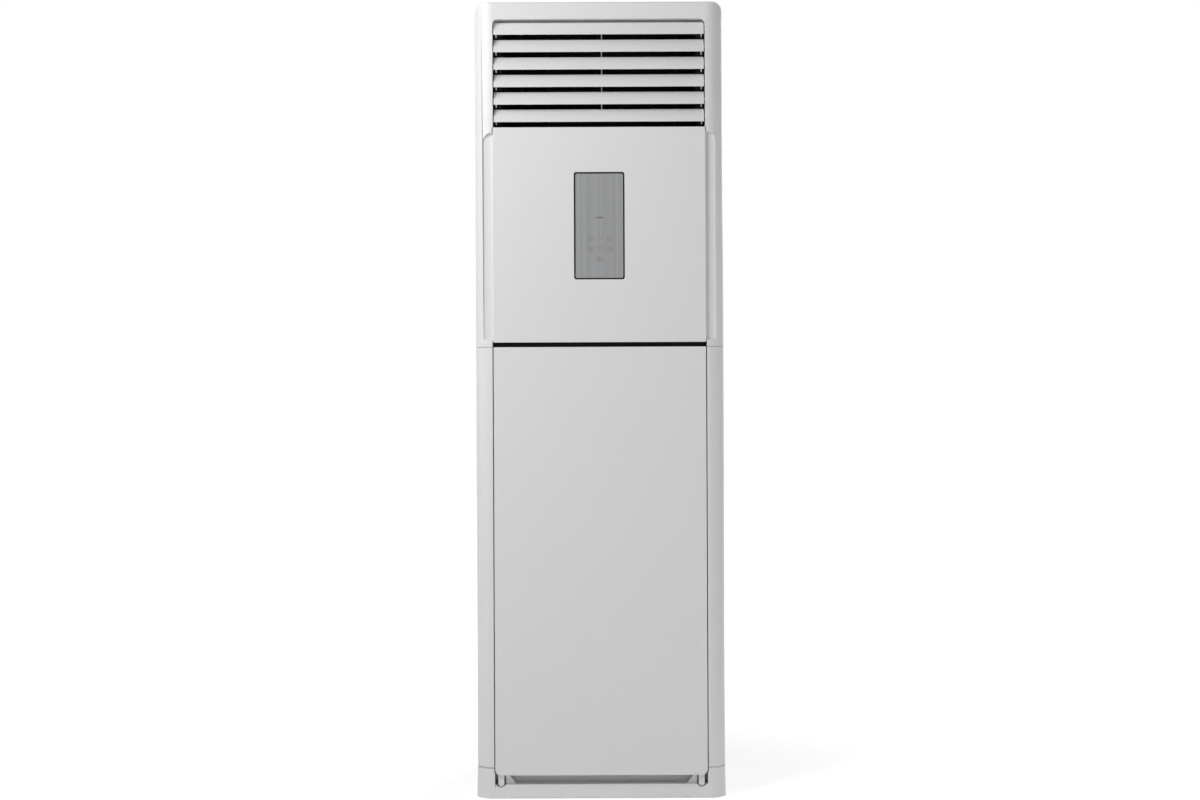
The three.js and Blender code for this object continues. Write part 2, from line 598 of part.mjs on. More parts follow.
const toe = box(-TOE_HALF, TOE_HALF, FACE_Y - 5, toeBack, TOE_SHELF, TOE_ROOF);
const toeUp = box(-SLOT_HALF, SLOT_HALF, FACE_Y - 5, FACE_Y + LOWER_DEPTH + 6, TOE_ROOF - 1, NECK_TOP + 2);
const stepSlope = alongX(polygon([[FACE_Y - 5, TOE_SHELF - STEP_CHAMFER - 3.5], [FACE_Y + STEP_CHAMFER,
    TOE_SHELF + 0.1],
  [FACE_Y - 5, TOE_SHELF + 0.1]]), -TOE_HALF, TOE_HALF);
const shelfBlock = box(-TOE_HALF - SKIN, TOE_HALF + SKIN, FACE_Y + SKIN - 1, toeBack + SKIN,
    TROUGH_FLOOR - SKIN, TOE_ROOF + SKIN);
const troughShape = (x, floor) => roundRect(x - TROUGH_HALF, floor, x + TROUGH_HALF, TOE_SHELF + 20,
  [TROUGH_HALF - 1, TROUGH_HALF - 1, 0, 0]);
const trough = (x) => join(alongY(troughShape(x, TROUGH_FLOOR), FOOT_Y - FOOT_R - 1.5, toeBack),
  alongY(troughShape(x, TROUGH_FLOOR + TROUGH_LIP), FACE_Y - 5, FOOT_Y));
const cheek = (s) => {
  const outline = polygon([[s * CHEEK_IN, TOE_SHELF - 1], [s * CHEEK_OUT, TOE_SHELF - 1], [s * CHEEK_OUT,
      TOE_ROOF + 1]]
    .sort((a, b) => s * (a[0] - b[0])));
  return alongY(outline, toeBack - CHEEK_DEPTH, toeBack + 1);
};
const plinthShell = cut(plinthBlock(0, 0, PLINTH_TOP), plinthBlock(SKIN, -1, PLINTH_TOP - SKIN));
const neck = cut(
  alongZ(planShape(NECK_INSET), PLINTH_TOP - 1, NECK_TOP, ARC_STEPS)
    .intersect(box(-BODY_HALF, BODY_HALF, FACE_Y, PLINTH_REAR, PLINTH_TOP - 1, NECK_TOP)),
  alongZ(planShape(NECK_INSET + SKIN), PLINTH_TOP - 2, NECK_TOP + 1, ARC_STEPS)
    .intersect(box(-BODY_HALF, BODY_HALF, FACE_Y, PLINTH_REAR - 12, PLINTH_TOP - 2, NECK_TOP + 1)));
const inShell = plinthBlock(0.05, 0, PLINTH_TOP);
const padBlock = plinthBlock(0.05, 0, PLINTH_TOP).intersect(
  both(box(BODY_HALF - PAD_LENGTH, BODY_HALF + 5, FACE_Y - 5, PLINTH_REAR, 0, PAD_RISE)));
const plinth = cut(
  join(plinthShell, neck, padBlock, cut(shelfBlock.intersect(inShell),
    box(-TOE_HALF - 10, TOE_HALF + 10, toeBack + SKIN - 0.001, 0, -1, 100))),
  cut(join(toe, trough(TROUGH_X), trough(-TROUGH_X)), cheek(1), cheek(-1)), toeUp, stepSlope,
  box(-BODY_HALF + PAD_LENGTH, BODY_HALF - PAD_LENGTH, FACE_Y - 5, PLINTH_REAR + 1, -1, PAD_RISE));
part(cabinet, "plinth_cover", plinth, white());

// Base pan behind the plinth cover.
const panFront = PLINTH_REAR + CLEAR;
const pan = cut(
  join(both(box(BODY_HALF - PAD_LENGTH, BODY_HALF - SHEET, REAR_Y - PAD_REAR, REAR_Y - SHEET, 0,
      PAD_RISE)), cut(
  box(-BODY_HALF + 1, BODY_HALF - 1, panFront, REAR_Y, 0, NECK_TOP),
  box(-BODY_HALF + 1 + 2 * SHEET, BODY_HALF - 1 - 2 * SHEET, panFront + 2 * SHEET, REAR_Y - 2 * SHEET, -1,
    NECK_TOP - 2 * SHEET))),
  box(-BODY_HALF + PAD_LENGTH, BODY_HALF - PAD_LENGTH, REAR_Y - SIDE_FOLD, REAR_Y + CUT, -CUT, PAD_RISE));
part(cabinet, "base_pan", pan, zinc());

// Dark rail across the front, behind the finger gap.
const railHigh = ACCESS_LOW - 6;
const railLow = railHigh - RAIL_TALL;
const railFront = FACE_Y + COLUMN_RETURN + CLEAR;
const railReach = SLOT_HALF + RAIL_OVER;
const catchZ = LOWER_HIGH - CATCH_DROP;
const rail = cut(
  box(-railReach, railReach, railFront, railFront + RAIL_DEEP, railLow, railHigh),
  box(-railReach + SKIN, railReach - SKIN, railFront + SHEET_IN, railFront + RAIL_DEEP + CUT,
    railLow + SHEET_IN, railHigh - SHEET_IN),
  [-CATCH_X, CATCH_X].map((x) => box(x - CATCH_HALF - 4, x + CATCH_HALF + 4, railFront - CUT,
    railFront + SHEET_IN + CUT, catchZ - 4, catchZ + CATCH_RISE + 4)));
part(cabinet, "front_cross_rail", rail, black());

// ---------------------------------------------------------------- front panels and controls
const upperPanel = cut(
  box(-PANEL_HALF, PANEL_HALF, FACE_Y, SEAT_Y - CLEAR, UPPER_LOW, UPPER_HIGH),
  box(-PANEL_HALF + PANEL_SKIN, PANEL_HALF - PANEL_SKIN, FACE_Y + PANEL_SKIN, SEAT_Y,
      UPPER_LOW + PANEL_SKIN,
    UPPER_HIGH - PANEL_SKIN),
  alongY(roundRect(-WINDOW_HALF, WINDOW_LOW, WINDOW_HALF, WINDOW_HIGH, WINDOW_R), FACE_Y - 1, SEAT_Y));
part(controls, "upper_front_panel", upperPanel, white());

const bezelBack = FACE_Y + BEZEL_DEEP;
const windowIn = WINDOW_BORDER + CLEAR;
const bezelHole = WINDOW_BORDER + BEZEL_LEDGE;
const bezel = cut(
  join(
    alongY(roundRect(-WINDOW_HALF + CLEAR, WINDOW_LOW + CLEAR, WINDOW_HALF - CLEAR, WINDOW_HIGH - CLEAR,
      WINDOW_R - CLEAR), FACE_Y + BEZEL_RECESS, bezelBack),
    alongY(roundRect(-WINDOW_HALF - BEZEL_FLANGE, WINDOW_LOW - BEZEL_FLANGE, WINDOW_HALF + BEZEL_FLANGE,
      WINDOW_HIGH + BEZEL_FLANGE, WINDOW_R), FACE_Y + PANEL_SKIN + CLEAR, bezelBack)),
  alongY(roundRect(-WINDOW_HALF + WINDOW_BORDER, WINDOW_LOW + WINDOW_BORDER, WINDOW_HALF - WINDOW_BORDER,
    WINDOW_HIGH - WINDOW_BORDER, WINDOW_R - 2), FACE_Y - CUT, bezelBack - SHEET),
  alongY(roundRect(-WINDOW_HALF + bezelHole, WINDOW_LOW + bezelHole, WINDOW_HALF - bezelHole,
    WINDOW_HIGH - bezelHole, WINDOW_R / 3), FACE_Y, bezelBack + CUT));
part(controls, "display_bezel", bezel, black());

const pane = alongY(roundRect(-WINDOW_HALF + windowIn, WINDOW_LOW + windowIn, WINDOW_HALF - windowIn,
  WINDOW_HIGH - windowIn, WINDOW_R - 2 - CLEAR), FACE_Y + WINDOW_RECESS, bezelBack - SHEET - CLEAR);
part(controls, "display_window", pane, paint(0x8d9092, 0.35, 0.7));

// Display board: the board with its ribbon socket and a buzzer.
const boardFront = bezelBack + CLEAR;
const boardRear = boardFront + BOARD_THICK;
const boardEdge = 2; // how far the board stays inside the display opening
const socket = { half: 22, tall: 30, deep: 5.4, drop: 60 };
const buzzer = { half: 7, tall: 20, deep: 7.4, out: 33, rise: 20 };
const displayBoard = join(
  box(-WINDOW_HALF + boardEdge, WINDOW_HALF - boardEdge, boardFront, boardRear,
    WINDOW_LOW + boardEdge, WINDOW_HIGH - boardEdge),
  box(-socket.half, socket.half, boardRear - CLEAR, boardRear + socket.deep,
    WINDOW_HIGH - socket.drop, WINDOW_HIGH - socket.drop + socket.tall),
  box(-buzzer.out - buzzer.half, -buzzer.out + buzzer.half, boardRear - CLEAR, boardRear + buzzer.deep,
    WINDOW_LOW + buzzer.rise, WINDOW_LOW + buzzer.rise + buzzer.tall));
part(controls, "display_board", displayBoard, paint(0x2f6b3c, 0.5));

// Control box behind the upper panel, fixed to the wall before the coil.
const boxHigh = BOX_LOW + BOX_TALL;
const wireHole = { wide: 30, fromSide: 60, ahead: 8, behind: 12 };
const tray = cut(
  box(BOX_LEFT, BOX_RIGHT, BOX_FRONT, BOX_BACK, BOX_LOW, boxHigh),
  box(BOX_LEFT + SHEET_IN, BOX_RIGHT - SHEET_IN, BOX_FRONT - CUT, BOX_BACK - SHEET_IN,
    BOX_LOW + SHEET_IN, boxHigh - SHEET_IN),
  box(BOX_RIGHT - wireHole.fromSide, BOX_RIGHT - wireHole.fromSide + wireHole.wide,
      BOX_FRONT + wireHole.ahead,
    BOX_BACK - wireHole.behind, BOX_LOW - CUT, BOX_LOW + SHEET_IN + CUT));
part(controls, "control_box", tray, zinc());

// Wall between the coil and the front, which carries the control box.
const partitionFold = 12;
const partition = join(
  box(-MOULD_HALF, MOULD_HALF, PARTITION_Y, PARTITION_Y + SHEET_IN, DIVIDER_Z + SHEET_IN + CUT,
      DUCT_LOW - CLEAR),
  box(-MOULD_HALF, MOULD_HALF, PARTITION_Y, PARTITION_Y + partitionFold, DUCT_LOW - CLEAR - SHEET_IN,
    DUCT_LOW - CLEAR));
part(cooling, "front_partition", partition, zinc());

// Control board on four posts, with a transformer, two relays and the processor's heat sink.
const boardBack = BOX_BACK - SHEET_IN - CLEAR;
const POST = 8; // length of the posts
const pcbLeft = BOX_LEFT + 20;
const pcbRight = pcbLeft + 190;
const pcbLow = BOX_LOW + 60;
const pcbHigh = boxHigh - 20;
const postIn = 6; // from the board's edge to each post
const pcbFront = boardBack - POST - BOARD_THICK;
const onBoard = (x, z, wide, tall, deep) =>
  box(pcbLeft + x, pcbLeft + x + wide, pcbFront - deep, pcbFront + BOARD_THICK / 2, pcbLow + z,
      pcbLow + z + tall);
const controlBoard = join(
  box(pcbLeft, pcbRight, pcbFront, boardBack - POST, pcbLow, pcbHigh),
  [pcbLeft + postIn, pcbRight - postIn].flatMap((x) =>
    [pcbLow + postIn, pcbHigh - postIn].map((z) => barY(x, z, 3, boardBack - POST - BOARD_THICK / 2,
        boardBack, 8))),
  onBoard(30, 90, 40, 35, 20.4),
  onBoard(90, 30, 24, 20, 12.4),
  onBoard(130, 30, 24, 20, 12.4),
  onBoard(110, 140, 40, 40, 3.4));
part(controls, "control_board", controlBoard, paint(0x2f6b3c, 0.5));

// Terminal block with a row of open cells.
const cells = { count: 6, wide: 12.5, pitch: 16.5, first: 5, deep: 13 };
const terminalWide = 105;
const terminalLeft = BOX_RIGHT - 120;
const terminalLow = BOX_LOW + 30;
const terminalTall = 32;
const terminalDeep = 24;
const terminal = cut(
  box(terminalLeft, terminalLeft + terminalWide, boardBack - terminalDeep, boardBack,
    terminalLow, terminalLow + terminalTall),
  Array.from({ length: cells.count }, (_, i) => box(terminalLeft + cells.first + i * cells.pitch,
    terminalLeft + cells.first + cells.wide + i * cells.pitch, boardBack - terminalDeep - CUT,
    boardBack - terminalDeep + cells.deep, terminalLow + 6, terminalLow + terminalTall - 6)));
part(controls, "terminal_block", terminal, black());

// Capacitor with its clamp and two tabs.
const canR = 20;
const canX = BOX_RIGHT - 60;
const canY = boardBack - canR - SHEET_IN;
const canLow = BOX_LOW + 110;
const canHigh = canLow + 80;
const tabHigh = canHigh + 12;
const tab = (side) => box(canX + side * 4 - 1, canX + side * 4 + 1, canY - 3, canY + 3, canHigh + 2,
    tabHigh);
const capacitor = join(barZ(canX, canY, canR, canLow, canHigh, 24),
  barZ(canX, canY, canR - SKIN, canHigh - CUT, canHigh + 3, 24), tab(-1), tab(1),
  box(canX - canR - 4, canX + canR + 4, boardBack - 4, boardBack, canLow + 30, canLow + 50));
part(controls, "run_capacitor", capacitor, aluminium());

// ---------------------------------------------------------------- air inlet
// Intake panel: tray with folded edges, feet below and catches at the top.
const lowerOutline = (inset) => roundRect(-PANEL_HALF + inset, LOWER_LOW + inset, PANEL_HALF - inset,
  LOWER_HIGH - inset, [LOWER_R - inset, LOWER_R - inset, 0, 0]);
const footZ = TROUGH_FLOOR + FOOT_R + CLEAR;
// Half of a foot: a round bar along X whose end is rounded, so that it can roll in its trough.
const footHalf = [barX(FOOT_Y, footZ, FOOT_R, 0, FOOT_HALF - FOOT_CORNER, FOOT_SIDES)];
for (let i = 0; i < FINE_STEPS; i++) {
  const [a, b] = [i, i + 1].map((k) => (k / FINE_STEPS) * (Math.PI / 2));
  const from = FOOT_HALF - FOOT_CORNER * (1 - Math.sin(a));
  const to = FOOT_HALF - FOOT_CORNER * (1 - Math.sin(b));
  const radius = (angle) => FOOT_R - FOOT_CORNER * (1 - Math.cos(angle));
  const slice = new THREE.CylinderGeometry(radius(a), radius(b), to - from,
      FOOT_SIDES).rotateZ(Math.PI / 2);
  footHalf.push(solid(slice.translate((from + to) / 2, FOOT_Y, footZ)));
}
const footRoll = both(join(footHalf));
const foot = (x) => join(footRoll.translate([x, 0, 0]),
  box(x - FOOT_HALF, x + FOOT_HALF, FOOT_Y - FOOT_R + CLEAR, FOOT_Y + FOOT_R - 6, footZ, LOWER_LOW + 4));
const hook = (x) => join(
  box(x - CATCH_HALF, x + CATCH_HALF, FACE_Y + PANEL_SKIN / 2, railFront + 8, catchZ, catchZ + SKIN),
  box(x - CATCH_HALF, x + CATCH_HALF, railFront + 8 - SKIN, railFront + 8, catchZ, catchZ + CATCH_RISE));
const intake = join(
  cut(alongY(lowerOutline(0), FACE_Y, FACE_Y + LOWER_DEPTH),
    alongY(lowerOutline(PANEL_SKIN), FACE_Y + PANEL_SKIN, FACE_Y + LOWER_DEPTH + CUT)),
  Array.from({ length: LOWER_RIBS }, (_, i) => {
    const z = LOWER_LOW + ((i + 1) / (LOWER_RIBS + 1)) * (LOWER_HIGH - LOWER_LOW);
    return box(-PANEL_HALF + 1, PANEL_HALF - 1, FACE_Y + 1, FACE_Y + RIB_DEEP, z, z + PANEL_SKIN);
  }),
  foot(TROUGH_X), foot(-TROUGH_X), hook(CATCH_X), hook(-CATCH_X));
part(inlet, "intake_panel", intake, white());

// Wall behind the intake, with the pockets that hold the filter.
const bulkFront = BULKHEAD_Y - SHEET_IN;
const openInset = 22; // how far the bulkhead's opening stays inside the filter
const openLow = FILTER_LOW + openInset;
const openHigh = FILTER_HIGH - openInset;
const openHalf = FILTER_HALF - openInset + 4;
const postPitch = openHalf / 2 - 1;
const filterBack = bulkFront - CLEAR;
const filterFront = filterBack - FILTER_THICK;
const pocket = (z0, z1, lip) => join(
  box(-FILTER_HALF - 3, FILTER_HALF + 3, filterFront - 3, bulkFront + 1, z0, z0 + 2),
  box(-FILTER_HALF - 3, FILTER_HALF + 3, filterFront - 3, filterFront - 1, Math.min(z0, lip),
      Math.max(z0, lip)));
const bulkhead = join(
  cut(box(-INNER_HALF, INNER_HALF, bulkFront, BULKHEAD_Y, NECK_TOP + CLEAR, DIVIDER_Z - CLEAR),
    box(-openHalf, openHalf, bulkFront - 1, BULKHEAD_Y + 1, openLow, openHigh)),
  pocket(FILTER_LOW - 2 - CLEAR, 0, FILTER_LOW + 8),
  pocket(FILTER_HIGH + FILTER_LIFT + 1, 0, FILTER_HIGH - 8),
  [-1, 0, 1].map((i) => box(i * postPitch - 1, i * postPitch + 1, bulkFront, BULKHEAD_Y + 8, openLow - 2,
      openHigh + 2)));
part(inlet, "inlet_bulkhead", bulkhead, zinc());

const filterBars = [];
for (let i = 1; i < 5; i++) {
  const z = FILTER_LOW + (i * (FILTER_HIGH - FILTER_LOW)) / 5;
  filterBars.push(box(-FILTER_HALF + 5, FILTER_HALF - 5, filterFront, filterBack - SKIN,
    z - FILTER_BAR / 2, z + FILTER_BAR / 2));
}
for (const x of [-FILTER_HALF / 3, FILTER_HALF / 3]) {
  filterBars.push(box(x - FILTER_BAR / 2, x + FILTER_BAR / 2, filterFront, filterBack - SKIN,
    FILTER_LOW + 5, FILTER_HIGH - 5));
}
const gripHalf = 25;
const gripZ = FILTER_LOW + 40;
const filter = join(
  cut(box(-FILTER_HALF, FILTER_HALF, filterFront, filterBack, FILTER_LOW, FILTER_HIGH),
    box(-FILTER_HALF + FILTER_RIM, FILTER_HALF - FILTER_RIM, filterFront - 1, filterBack + 1,
        FILTER_LOW + FILTER_RIM,
      FILTER_HIGH - FILTER_RIM)), filterBars,
  box(-gripHalf, gripHalf, filterFront - 6, filterFront + 1, gripZ, gripZ + FILTER_BAR),
  box(-gripHalf, gripHalf, filterFront, filterBack - SKIN, FILTER_LOW + FILTER_RIM - 1,
      gripZ + FILTER_BAR));
part(inlet, "filter_frame", filter, black());
part(inlet, "filter_mesh", box(-FILTER_HALF + FILTER_RIM + CLEAR, FILTER_HALF - FILTER_RIM - CLEAR,
  filterBack - 2.7, filterBack - 1.5, FILTER_LOW + FILTER_RIM + CLEAR, FILTER_HIGH - FILTER_RIM - CLEAR),
  paint(0x5a6066, 0.9));

// ---------------------------------------------------------------- blower
const onBlowerAxis = (geometry) => solid(geometry.translate(WHEEL_X, 0, WHEEL_Z));

// Lathe profile of [radius, y] pairs, turned about the blower axis.
function latheY(profile, sides) {
  const points = [...profile, profile[0]].map(([r, y]) => new THREE.Vector2(r, y));
  return onBlowerAxis(new THREE.LatheGeometry(points, sides));
}

// Bell mouth: flange on the scroll, rounded lip, THROAT that reaches into the wheel.
const bellFlange = SCROLL_FRONT - CLEAR;
const bellStart = bellFlange + 4; // where the THROAT begins to open
const bellArc = (r) => Array.from({ length: 4 }, (_, i) => {
  const a = (i / 3) * (Math.PI / 2);
  return [THROAT + BELL_R - r * Math.cos(a), bellStart - r * Math.sin(a)];
});
const bell = latheY([
  [THROAT, WHEEL_FRONT + 8], ...bellArc(BELL_R), [BELL_RIM, bellStart - BELL_R],
  [BELL_RIM, bellFlange - BELL_WALL], [BELL_RIM + BELL_FLANGE, bellFlange - BELL_WALL],
      [BELL_RIM + BELL_FLANGE, bellFlange],
  [BELL_RIM - BELL_WALL, bellFlange], [BELL_RIM - BELL_WALL, bellStart - BELL_R + BELL_WALL],
  ...bellArc(BELL_R - BELL_WALL).reverse(), [THROAT + BELL_WALL, WHEEL_FRONT + 8]], 24);
part(blower, "bell_mouth", bell, black());

// Scroll housing.
const scrollR = (deg) => SCROLL_START + (SCROLL_GROWTH * (deg - SCROLL_TONGUE)) / (360 - SCROLL_TONGUE);
function scrollShape(inset) {
  const points = [];
  const r0 = SCROLL_START - inset;
  const tongue = rad(SCROLL_TONGUE);
  points.push([WHEEL_X + r0 * Math.cos(tongue), SCROLL_TOP + (inset ? CUT : 0)]);
  for (let deg = SCROLL_TONGUE; deg <= 360; deg += SCROLL_STEP) {
    const r = scrollR(deg) - inset;
    points.push([WHEEL_X + r * Math.cos(rad(deg)), WHEEL_Z + r * Math.sin(rad(deg))]);
  }
  points.push([WHEEL_X + scrollR(360) - inset, SCROLL_TOP + (inset ? CUT : 0)]);
  return points.reverse();
}
const scrollOutline = scrollShape(0);
const leftEdge = WHEEL_X + SCROLL_START * Math.cos(rad(SCROLL_TONGUE));
const rightEdge = WHEEL_X + scrollR(360);
const scrollInner = scrollShape(SCROLL_WALL).map(([x, z]) => [z > SCROLL_TOP - 1 && x < leftEdge + 5
  ? leftEdge + SCROLL_WALL : x, z]);
scrollInner[scrollInner.length - 2] = [leftEdge + SCROLL_WALL, scrollInner[scrollInner.length - 2][1]];
const scrollBox = cut(
  alongY(polygon(scrollOutline), SCROLL_FRONT, SCROLL_BACK),
  alongY(polygon(scrollInner), SCROLL_FRONT + SCROLL_WALL, SCROLL_BACK - SCROLL_WALL),
  barY(WHEEL_X, WHEEL_Z, BELL_RIM - 10, SCROLL_FRONT - CUT, SCROLL_FRONT + SCROLL_WALL + CUT, 48),
  barY(WHEEL_X, WHEEL_Z, MOTOR_R - 12, SCROLL_BACK - SCROLL_WALL - CUT, SCROLL_BACK + CUT, 32));
const scrollFlange = cut(
  box(leftEdge - SCROLL_FLANGE, rightEdge + SCROLL_FLANGE, SCROLL_FRONT - SCROLL_FLANGE,
      SCROLL_BACK + SCROLL_FLANGE,
    SCROLL_TOP - SHEET_IN, SCROLL_TOP),
  box(leftEdge + 1, rightEdge - 1, SCROLL_FRONT + 1, SCROLL_BACK - 1, SCROLL_TOP - SKIN, SCROLL_TOP + CUT));
const legSpan = [SCROLL_FRONT + 10, SCROLL_BACK - 10];
const legLow = NECK_TOP + CLEAR;
const scrollLegs = LEG_X.map((x) => join(
  box(x - LEG_HALF, x + LEG_HALF, ...legSpan, legLow, legLow + SHEET_IN),
  box(x - LEG_HALF, x - LEG_HALF + SHEET_IN, ...legSpan, legLow, LEG_HIGH),
  box(x + LEG_HALF - SHEET_IN, x + LEG_HALF, ...legSpan, legLow, LEG_HIGH)));
const insideScroll = alongY(polygon(scrollShape(SCROLL_WALL / 2)), SCROLL_FRONT - 1, SCROLL_BACK + 1);
part(blower, "scroll_housing", join(scrollBox, scrollFlange, cut(join(scrollLegs), insideScroll)), zinc());

// Blower wheel with forward-curved blades.
function wheelBlade(turn) {
  const inner = WHEEL_INNER + 2;
  const outer = WHEEL_R - 1;
  const steps = 3;
  const side = (offset) => {
    const points = [];
    for (let i = 0; i <= steps; i++) {
      const t = i / steps;
      const r = inner + (outer - inner) * t;
      const lead = turn - BLADE_LEAD * t * t + offset / r;
      points.push([r * Math.cos(lead), r * Math.sin(lead)]);
    }
    return points;
  };
  return polygon([...side(-BLADE_THICK / 2), ...side(BLADE_THICK / 2).reverse()]);
}
const wheelParts = [];
for (let i = 0; i < WHEEL_BLADES; i++) {
  const g = extrude(wheelBlade((2 * Math.PI * i) / WHEEL_BLADES), WHEEL_BACK - WHEEL_FRONT - 2)
    .rotateX(Math.PI / 2).translate(0, WHEEL_BACK - 1, 0);
  wheelParts.push(onBlowerAxis(g));
}
const hubFront = WHEEL_BACK - HUB_LONG;
const wheelBody = join(
  latheY([[WHEEL_INNER - 1, WHEEL_FRONT], [WHEEL_R, WHEEL_FRONT], [WHEEL_R, WHEEL_FRONT + 5],
    [WHEEL_INNER - 1, WHEEL_FRONT + 2]], 30),
  latheY([[SHAFT_R + CLEAR, WHEEL_BACK - 2], [WHEEL_R, WHEEL_BACK - 2], [WHEEL_R, WHEEL_BACK],
    [SHAFT_R + CLEAR, WHEEL_BACK]], 30),
  latheY([[SHAFT_R + CLEAR, hubFront], [HUB_R, hubFront], [HUB_R, WHEEL_BACK - 1], [SHAFT_R + CLEAR,
      WHEEL_BACK - 1]], 16),
  wheelParts);
part(blower, "blower_wheel", wheelBody, zinc());

const shaftEnd = MOTOR_FRONT + 30;
part(blower, "motor_shaft", barY(WHEEL_X, WHEEL_Z, SHAFT_R, hubFront - 6, shaftEnd, 16), zinc());

// Fan motor on its bracket plate.
const plateBack = MOTOR_FRONT - CLEAR;
const lugOut = MOTOR_R - 12; // place and size of the motor's four lugs
const lugR = 7;
const motor = cut(
  join(barY(WHEEL_X, WHEEL_Z, MOTOR_R, MOTOR_FRONT + 6, MOTOR_BACK - 6, 28),
    barY(WHEEL_X, WHEEL_Z, MOTOR_R - 8, MOTOR_FRONT + 3, MOTOR_BACK, 28),
    barY(WHEEL_X, WHEEL_Z, HUB_R + 4, MOTOR_FRONT, MOTOR_FRONT + 4, 16),
    [45, 135, 225, 315].map((deg) => barY(WHEEL_X + lugOut * Math.cos(rad(deg)),
      WHEEL_Z + lugOut * Math.sin(rad(deg)), lugR, MOTOR_FRONT, MOTOR_FRONT + 8, 6))),
  barY(WHEEL_X, WHEEL_Z, SHAFT_R + CLEAR, MOTOR_FRONT - 1, shaftEnd + 3, 16));
part(blower, "fan_motor", motor, paint(0x3c3f42, 0.5, 0.4));
const [plateWide, plateTall] = MOTOR_PLATE;
const plateFoot = 20; // width of the plate's two raised sides
const motorPlate = cut(
  box(WHEEL_X - plateWide / 2, WHEEL_X + plateWide / 2, SCROLL_BACK + CLEAR, plateBack,
    WHEEL_Z - plateTall / 2, WHEEL_Z + plateTall / 2),
  box(WHEEL_X - plateWide / 2 + plateFoot, WHEEL_X + plateWide / 2 - plateFoot, SCROLL_BACK,
      plateBack - SHEET_IN,
    WHEEL_Z - plateTall / 2 - CUT, WHEEL_Z + plateTall / 2 + CUT),
  barY(WHEEL_X, WHEEL_Z, HUB_R + 8, SCROLL_BACK, plateBack + CUT, 24));
part(blower, "motor_bracket", motorPlate, zinc());

// Plate between blower and coil.
const dividerFront = FRAME_REAR + SKIN;
const dividerBack = REAR_Y - 12;
const dividerTop = DIVIDER_Z + SHEET_IN;
const dividerFold = 20;
const pipePlay = 2; // play round the pipes where they pass the plate
const divider = cut(
  join(box(-INNER_HALF, INNER_HALF, dividerFront, dividerBack, DIVIDER_Z, dividerTop),
    box(-BODY_HALF + COLUMN_FLANGE + CUT, BODY_HALF - COLUMN_FLANGE - CUT, PARTITION_Y + SHEET_IN + CLEAR,
      dividerFront + CUT, DIVIDER_Z, dividerTop),
    both(box(INNER_HALF - SHEET_IN, INNER_HALF, dividerFront, dividerBack, DIVIDER_Z,
        DIVIDER_Z + dividerFold))),
  box(leftEdge + SKIN, rightEdge - SKIN, SCROLL_FRONT + SKIN, SCROLL_BACK - SKIN, DIVIDER_Z - CUT,
      dividerTop + CUT),
  box(SUCTION_X - SUCTION_R - pipePlay, LIQUID_X + LIQUID_R + pipePlay, SUCTION_Y - SUCTION_R - pipePlay,
    LIQUID_Y + LIQUID_R + pipePlay, DIVIDER_Z - CUT, dividerTop + CUT));
part(blower, "divider_plate", divider, zinc());

// ---------------------------------------------------------------- cooling
// Coil slab leaning back, drawn upright and turned into place about its lower front corner.
const lean = (geometry) => solid(geometry
  .rotateX(-rad(COIL_LEAN)).translate(0, COIL_Y, COIL_Z));
const finPitch = (2 * COIL_HALF - RIB_WIDE) / (RIB_COUNT - 1);
const finAt = (i) => -COIL_HALF + i * finPitch;
const comb = [];
for (let i = 0; i < RIB_COUNT; i++) {
  if (i) comb.push([finAt(i), RIB_TALL]);
  comb.push([finAt(i), 0], [finAt(i) + RIB_WIDE, 0]);
  if (i < RIB_COUNT - 1) comb.push([finAt(i) + RIB_WIDE, RIB_TALL]);
}
for (let i = RIB_COUNT - 1; i >= 0; i--) {
  if (i < RIB_COUNT - 1) comb.push([finAt(i) + RIB_WIDE, COIL_THICK - RIB_TALL]);
  comb.push([finAt(i) + RIB_WIDE, COIL_THICK], [finAt(i), COIL_THICK]);
  if (i) comb.push([finAt(i), COIL_THICK - RIB_TALL]);
}
part(cooling, "evaporator_coil", lean(extrude(polygon(comb), COIL_LENGTH)), aluminium());

const sheetX = COIL_HALF + CLEAR;
const bendFirst = 60; // from the coil's lower end to the first return bend
const bendSpare = 100; // from the last one to the upper end
const bendHalf = 20; // half the distance between a bend's two tubes
function tubeSheet(side) {
  const x0 = side * sheetX;
  const x1 = side * (sheetX + SHEET_IN);
  const plate = new THREE.BoxGeometry(SHEET_IN, COIL_THICK + 8, COIL_LENGTH + 12)
    .translate((x0 + x1) / 2, COIL_THICK / 2, COIL_LENGTH / 2);
  const foldLow = 50;
  const foldHigh = COIL_LENGTH - 110;
  const fold = new THREE.BoxGeometry(INNER_HALF - sheetX, 2, foldHigh - foldLow)
    .translate(side * (sheetX + (INNER_HALF - sheetX) / 2), COIL_THICK + 3, (foldHigh + foldLow) / 2);
  const bends = [];
  for (let i = 0; i < BEND_COUNT; i++) {
    const z = bendFirst + (i * (COIL_LENGTH - bendFirst - bendSpare)) / (BEND_COUNT - 1);
    const y = COIL_THICK / 2;
    const out = side * (sheetX + BEND_REACH);
    const path = [[side * sheetX, y, z - bendHalf], [out, y, z - bendHalf], [out, y, z + bendHalf],
      [side * sheetX, y, z + bendHalf]];
    bends.push(tube(path, BEND_R, BEND_REACH / 2, 6));
  }
  const place = (body) => body.rotate([-COIL_LEAN, 0, 0]).translate([0, COIL_Y, COIL_Z]);
  return join(place(solid(plate)), place(solid(fold)), bends.map(place));
}
part(cooling, "right_tube_sheet", tubeSheet(1), aluminium());
part(cooling, "left_tube_sheet", tubeSheet(-1), aluminium());

